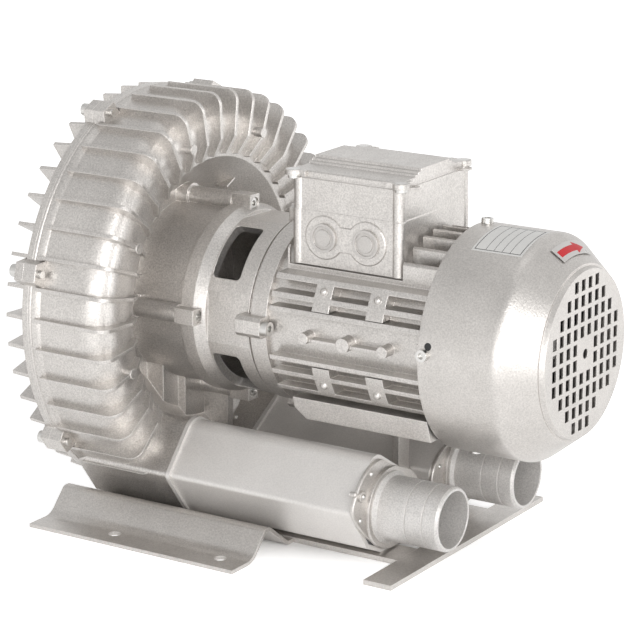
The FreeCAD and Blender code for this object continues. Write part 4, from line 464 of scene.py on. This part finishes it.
COLUMN = 0.0050
COLUMN_STAND = 0.0012
COLUMN_STEPS = 16
BOX_FRONT = 0.0610
BOX_REAR = 0.1555
BOX_HALF = 0.0500
BOX_BASE = 0.2180
BOX_STEP = 0.2600
BOX_STEP_HEIGHT = 0.0006
BOX_SWELL = 0.0004
BOX_TOP = 0.2846


def box_plan(height, swell=0.0):
    """The plan of the box at one height: straight walls with a round column at each corner."""
    points = []
    spread = math.degrees(math.acos((COLUMN - COLUMN_STAND) / COLUMN))
    for side_x, side_y, start in ((1, -1, -90), (1, 1, 0), (-1, 1, 90), (-1, -1, 180)):
        middle_x = BOX_REAR - COLUMN + COLUMN_STAND if side_x > 0 else BOX_FRONT + COLUMN - COLUMN_STAND
        middle_y = side_y * (BOX_HALF - COLUMN + COLUMN_STAND)
        for step in range(COLUMN_STEPS + 1):
            turn = math.radians(start - spread + (90 + 2 * spread) * step / COLUMN_STEPS)
            points.append((middle_x + COLUMN * math.cos(turn) + swell * side_x,
                           middle_y + COLUMN * math.sin(turn) + swell * side_y, height))
    return points


WALL_CREASE = 16
FINE_CREASE = 20
walls = prism("box_walls", [box_plan(BOX_BASE, BOX_SWELL), box_plan(BOX_STEP, BOX_SWELL),
                            box_plan(BOX_STEP + BOX_STEP_HEIGHT), box_plan(BOX_TOP)], casting, WALL_CREASE)

# The raised face round the cable entries: each entry's ring starts at an angle and runs to the other's
GLANDS = ((0.0888, 35), (0.1263, 215))
GLAND_HEIGHT = 0.2406
GLAND_SWEEP = 290
GLAND_STEPS = 24
GLAND_SECTIONS = ((0.0170, -0.0498), (0.0170, -0.0510), (0.0162, -0.0516))


def gland_plan(radius, across):
    """The outline round the two cable entries, like a lying eight."""
    points = []
    for station, start in GLANDS:
        for step in range(GLAND_STEPS + 1):
            turn = math.radians(start + GLAND_SWEEP * step / GLAND_STEPS)
            points.append((station + radius * math.cos(turn), across, GLAND_HEIGHT + radius * math.sin(turn)))
    return points


gland_face = prism("gland_face", [gland_plan(radius, across) for radius, across in GLAND_SECTIONS], casting,
                   FINE_CREASE)

# Half of the roof's section from its flat top over two steps down to the eaves, as (y, z). Near the lid's ends,
# at each distance in from them, the section is kept within a half width
ROOF = [(0.0205, 0.2962), (0.0210, 0.2946), (0.0216, 0.2940), (0.0226, 0.2944), (0.0245, 0.2942),
        (0.0250, 0.2928), (0.0256, 0.2922), (0.0266, 0.2927), (0.0285, 0.2925), (0.0290, 0.2912),
        (0.0296, 0.2906), (0.0306, 0.2911), (0.0490, 0.2903), (0.0499, 0.2893), (0.0499, BOX_TOP)]
ROOF_CORNER = ((0.0002, 0.0468), (0.0013, 0.0488), (0.0036, 0.0499))


def roof_section(station, limit):
    """The lid's outline at one station, with its eaves cut at a half width."""
    half = [(min(across, limit), up) for across, up in ROOF]
    section = [(-across, up) for across, up in half] + [(across, up) for across, up in reversed(half)]
    return [(station, across, up) for across, up in section]


front_sections = [roof_section(BOX_FRONT + inset, limit) for inset, limit in ROOF_CORNER]
rear_sections = [roof_section(BOX_REAR - inset, limit) for inset, limit in reversed(ROOF_CORNER)]
lid = prism("lid_roof", front_sections + rear_sections, casting, FINE_CREASE)

LUG_BOSS = 0.0065
LUG_LONG_ARM = [(-0.0010, 0.0120), (0.0026, 0.0120), (0.0030, 0.0075)]
LUG_SHORT_ARM = [(-0.0120, -0.0032), (-0.0120, 0.0010), (-0.0010, 0.0010)]
LUG_ARC_START = 70
LUG_ARC_STEP = 28.75
LUG_ARC_POINTS = 9
LUG_HEIGHTS = (0.2862, 0.2901, 0.2904)
LID_SCREW_TOP = 0.2905
LID_SCREW_RADIUS = 0.0046
LID_SCREW_LENGTH = 0.0070
FAR_LUG_INSET = 0.003
LUG_CORNERS = ((BOX_REAR, -BOX_HALF, (-1, 1)), (BOX_REAR - FAR_LUG_INSET, BOX_HALF - FAR_LUG_INSET, (-1, -1)),
               (BOX_FRONT, BOX_HALF, (1, -1)), (BOX_FRONT, -BOX_HALF, (1, 1)))


def lug_plan(middle, inward, height):
    """A corner lug: a round boss with an arm along each wall."""
    x, y = middle
    toward_x, toward_y = inward
    boss = []
    for step in range(LUG_ARC_POINTS):
        turn = math.radians(LUG_ARC_START - step * LUG_ARC_STEP)
        boss.append((LUG_BOSS * math.cos(turn), LUG_BOSS * math.sin(turn)))
    return [(x - toward_x * across, y + toward_y * along, height)
            for across, along in LUG_LONG_ARM + boss + LUG_SHORT_ARM]


bright = FINISHES["bright_steel"]
for number, (x, y, inward) in enumerate(LUG_CORNERS):
    loops = [lug_plan((x, y), inward, height) for height in LUG_HEIGHTS]
    prism("lid_lug_%d" % number, loops, casting)
    stub("lid_screw_head_%d" % number, (x, y, LID_SCREW_TOP), (0, 0, -1), LID_SCREW_RADIUS,
                      LID_SCREW_LENGTH, bright)
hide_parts("terminal_box")
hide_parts("terminal_lid")
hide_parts("lid_screws")
nodes["lid_gasket"].data.materials[0] = casting

# Two thin gussets that meet in the valley at the top, from their shared high end to each low end, as (y, z)
GUSSET_TOP = (0.0599, 0.2536)
GUSSET_FEET = (("valley_gusset_left", (0.0400, 0.2443)), ("valley_gusset_right", (0.0900, 0.2300)))
GUSSET_STATIONS = (-0.0800, -0.0630)
GUSSET_HALF = 0.0007
for name, foot in GUSSET_FEET:
    along = Vector((0.0, foot[0] - GUSSET_TOP[0], foot[1] - GUSSET_TOP[1])).normalized()
    across = Vector((1.0, 0.0, 0.0)).cross(along) * GUSSET_HALF
    loops = []
    for station in GUSSET_STATIONS:
        corners = [Vector((station, *GUSSET_TOP)) + across, Vector((station, *GUSSET_TOP)) - across,
                   Vector((station, *foot)) - across, Vector((station, *foot)) + across]
        loops.append([tuple(corner) for corner in corners])
    prism(name, loops, casting)

# The silencers' end plates, with rounded outlines, a collar round each barb, dot screws and a clip


def through(points, steps=6):
    """A smooth closed line through the points."""
    line = []
    count = len(points)
    for index in range(count):
        before, start, end, after = (Vector(points[(index + shift) % count]) for shift in (-1, 0, 1, 2))
        bend = 2 * before - 5 * start + 4 * end - after
        twist = 3 * start - before - 3 * end + after
        for step in range(steps):
            t = step / steps
            line.append(tuple(0.5 * (2 * start + (end - before) * t + bend * t ** 2 + twist * t ** 3)))
    return line


BEVEL_REACH = 0.02


def holed_plate(name, outline, centre, radius, front, rear, material, bevel):
    """A plate across the motor axis with a round hole and a bevelled rear edge, from its (y, z) outline."""
    inner = []
    for across, up in outline:
        away = Vector((across - centre[0], up - centre[1])).normalized() * radius
        inner.append((centre[0] + away.x, centre[1] + away.y))
    shrunk = [(across + (near[0] - across) * bevel / BEVEL_REACH, up + (near[1] - up) * bevel / BEVEL_REACH)
              for (across, up), near in zip(outline, inner)]
    loops = [(front, inner), (front, outline), (rear - bevel, outline), (rear, shrunk), (rear, inner)]
    vertices = [(station, across, up) for station, loop in loops for across, up in loop]
    return new_piece(name, vertices, stitched(len(loops), len(outline), closed=True), material)


PLATE_OUTLINE = [(0.0674, 0.0805), (0.0555, 0.0745), (0.0455, 0.0695), (0.0222, 0.0597), (0.0111, 0.0480),
                 (0.0100, 0.0340), (0.0180, 0.0160), (0.0330, 0.0065), (0.0592, 0.0062), (0.0800, 0.0190),
                 (0.0974, 0.0352), (0.1066, 0.0500), (0.0970, 0.0675), (0.0830, 0.0775)]
SCREW_PLACES = ((0.0811, 0.0726), (0.0965, 0.0402), (0.0560, 0.0112), (0.0210, 0.0500))
PLATE_BEVEL = 0.0007
BARB_OVERLAP = 0.0010
COLLAR_STAND = 0.0035
COLLAR_DEPTH = 0.0028
COLLAR_BEVEL = 0.0012
COLLAR_SIDES = 60
DOT_SINK = 0.0010
DOT_RADIUS = 0.0021
DOT_LENGTH = 0.0026
DOT_DOME = 0.0008
sheet = FINISHES["painted_sheet"]
for name, side in (("near", -1), ("far", 1)):
    low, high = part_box("end_plate_" + name)
    barb_low, barb_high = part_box("hose_barb_" + name)
    centre = ((barb_low[1] + barb_high[1]) / 2, (barb_low[2] + barb_high[2]) / 2)
    bore = (barb_high[1] - barb_low[1]) / 2
    outline = through([(side * across, up) for across, up in PLATE_OUTLINE])
    face = holed_plate("end_plate_face_" + name, outline, centre, bore - BARB_OVERLAP, low[0], high[0], sheet,
                       PLATE_BEVEL)
    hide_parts("end_plate_" + name)
    ring = []
    for step in range(COLLAR_SIDES):
        turn = math.tau * step / COLLAR_SIDES
        ring.append((centre[0] + (bore + COLLAR_STAND) * math.cos(turn),
                     centre[1] + (bore + COLLAR_STAND) * math.sin(turn)))
    collar = holed_plate("barb_collar_" + name, ring, centre, bore - BARB_OVERLAP, high[0],
                         high[0] + COLLAR_DEPTH, sheet, COLLAR_BEVEL)
    for number, (across, up) in enumerate(SCREW_PLACES):
        foot = (high[0] - DOT_SINK, side * across, up)
        screw = "plate_screw_%s_%d" % (name, number)
        stub(screw, foot, (1, 0, 0), DOT_RADIUS, DOT_LENGTH, bright, DOT_DOME)

# A clip with its pin and a nub, at the near plate's outer edge, as (y, z)
CLIP_PLACE = (-0.0948, 0.0590)
NUB_PLACE = (-0.1020, 0.0622)
CLIP_SINK = 0.0005
NUB_SINK = 0.0050
low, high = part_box("end_plate_near")
clip = stub("plate_clip", (high[0] - CLIP_SINK, *CLIP_PLACE), (1, 0, 0), 0.0044, 0.0022, sheet)
hub = stub("plate_clip_pin", (high[0], *CLIP_PLACE), (1, 0, 0), 0.0020, 0.0032, bright, DOT_DOME)
nub = stub("plate_clip_nub", (high[0] - NUB_SINK, *NUB_PLACE), (1, 0, 0), 0.0020, 0.0055, sheet, DOT_DOME)
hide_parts("end_plate_screws")

# Floor, backdrop, camera and light

# The floor glows towards white away from the object. One field is the shade under it, an oval with a middle
# and two half widths, and one is the distance from the origin
SHADE_MIDDLE = 0.05
SHADE_HALF_X = 0.17
SHADE_HALF_Y = 0.13
UNDER_GLOW = (0.02, 0.66, 0.60, 0.95)
AWAY_GLOW = (0.0, 0.25, 0.30, 1.60)
FLOOR_REACH = 30.0
FLOOR_DROP = 0.0002


def floor_material():
    """A matt floor that keeps its shadow and reads as white away from the object."""
    material, tree, shader = new_material("floor")
    shader.inputs["Base Color"].default_value = (0.93, 0.93, 0.93, 1.0)
    shader.inputs["Roughness"].default_value = 0.9
    shader.inputs["Specular IOR Level"].default_value = 0.1
    shader.inputs["Emission Color"].default_value = (1.0, 1.0, 1.0, 1.0)
    place = tree.nodes.new("ShaderNodeTexCoord")
    away = tree.nodes.new("ShaderNodeVectorMath")
    away.operation = "LENGTH"
    tree.links.new(place.outputs["Object"], away.inputs[0])
    under = tree.nodes.new("ShaderNodeMapping")
    under.inputs["Location"].default_value = (-SHADE_MIDDLE / SHADE_HALF_X, 0.0, 0.0)
    under.inputs["Scale"].default_value = (1 / SHADE_HALF_X, 1 / SHADE_HALF_Y, 1.0)
    tree.links.new(place.outputs["Object"], under.inputs["Vector"])
    shade = tree.nodes.new("ShaderNodeVectorMath")
    shade.operation = "LENGTH"
    tree.links.new(under.outputs["Vector"], shade.inputs[0])
    total = tree.nodes.new("ShaderNodeMath")
    tree.links.new(between(tree, shade.outputs["Value"], *UNDER_GLOW), total.inputs[0])
    tree.links.new(between(tree, away.outputs["Value"], *AWAY_GLOW), total.inputs[1])
    glow = tree.nodes.new("ShaderNodeMath")
    glow.operation = "MULTIPLY"
    tree.links.new(total.outputs["Value"], glow.inputs[0])
    tree.links.new(seen_ray(tree), glow.inputs[1])
    tree.links.new(glow.outputs["Value"], shader.inputs["Emission Strength"])
    return material


def seen_ray(tree):
    """1 where the camera sees a thing directly, in a reflection or through glass, and 0 for its light."""
    rays = tree.nodes.new("ShaderNodeLightPath")
    seen = rays.outputs["Is Camera Ray"]
    for kind in ("Is Glossy Ray", "Is Transmission Ray"):
        either = tree.nodes.new("ShaderNodeMath")
        either.operation = "MAXIMUM"
        tree.links.new(seen, either.inputs[0])
        tree.links.new(rays.outputs[kind], either.inputs[1])
        seen = either.outputs["Value"]
    return seen


scene = bpy.context.scene
scene.view_settings.view_transform = "Standard"

floor_mesh = bpy.data.meshes.new("floor")
corners = [(x * FLOOR_REACH, y * FLOOR_REACH, 0) for x, y in ((-1, -1), (1, -1), (1, 1), (-1, 1))]
floor_mesh.from_pydata(corners, [], [(0, 1, 2, 3)])
floor = bpy.data.objects.new("floor", floor_mesh)
floor.location.z = -FLOOR_DROP
scene.collection.objects.link(floor)
floor.data.materials.append(floor_material())

# A white world, which lights the object at less than its seen brightness and is dimmer overhead
WORLD_LIGHT = 0.46
OVERHEAD = (1.0, 0.60, 0.50, 0.95)
world = bpy.data.worlds.new("studio")
scene.world = world
world.use_nodes = True
tree = world.node_tree
background = tree.nodes["Background"]
background.inputs["Color"].default_value = (1.0, 1.0, 1.0, 1.0)
place = tree.nodes.new("ShaderNodeTexCoord")
split = tree.nodes.new("ShaderNodeSeparateXYZ")
tree.links.new(place.outputs["Generated"], split.inputs[0])
dusk = tree.nodes.new("ShaderNodeMath")
dusk.operation = "MULTIPLY"
tree.links.new(between(tree, split.outputs["Z"], *OVERHEAD), dusk.inputs[0])
tree.links.new(between(tree, seen_ray(tree), WORLD_LIGHT, 1.0), dusk.inputs[1])
tree.links.new(dusk.outputs["Value"], background.inputs["Strength"])

# The photograph's camera, fitted to it: its place, its turn about Z, its height angle and its lens in mm
CAMERA_PLACE = (1.1499, -1.7078, 0.7205)
CAMERA_AZIMUTH = 32.73
CAMERA_ELEVATION = 15.46
CAMERA_LENS = 151.2
CAMERA_SENSOR = 36.0
CAMERA_FAR = 100.0
camera_data = bpy.data.cameras.new("camera")
camera_data.sensor_width = CAMERA_SENSOR
camera_data.lens = CAMERA_LENS
camera_data.clip_end = CAMERA_FAR
camera = bpy.data.objects.new("camera", camera_data)
camera.location = CAMERA_PLACE
camera.rotation_euler = (math.radians(90 - CAMERA_ELEVATION), 0.0, math.radians(CAMERA_AZIMUTH))
scene.collection.objects.link(camera)
scene.camera = camera


# Each lamp's name, place, width, height and power in watts
MIDDLE = (0.03, 0.0, 0.16)
LAMPS = (("key", (2.1, -1.6, 1.0), 1.6, 1.5, 30),
         ("front", (0.9, -2.2, 0.3), 1.4, 0.8, 10),
         ("side", (1.9, 1.5, 0.55), 1.2, 0.9, 6),
         ("top", (0.2, 0.3, 2.4), 1.6, 1.6, 4))


def area_light(name, place, width, height, power):
    """A soft rectangular lamp that faces the object's middle."""
    data = bpy.data.lights.new(name, "AREA")
    data.shape = "RECTANGLE"
    data.size = width
    data.size_y = height
    data.energy = power
    lamp = bpy.data.objects.new(name, data)
    lamp.location = place
    aim = Vector(MIDDLE) - Vector(place)
    lamp.rotation_euler = aim.to_track_quat("-Z", "Y").to_euler()
    scene.collection.objects.link(lamp)


for lamp_values in LAMPS:
    area_light(*lamp_values)
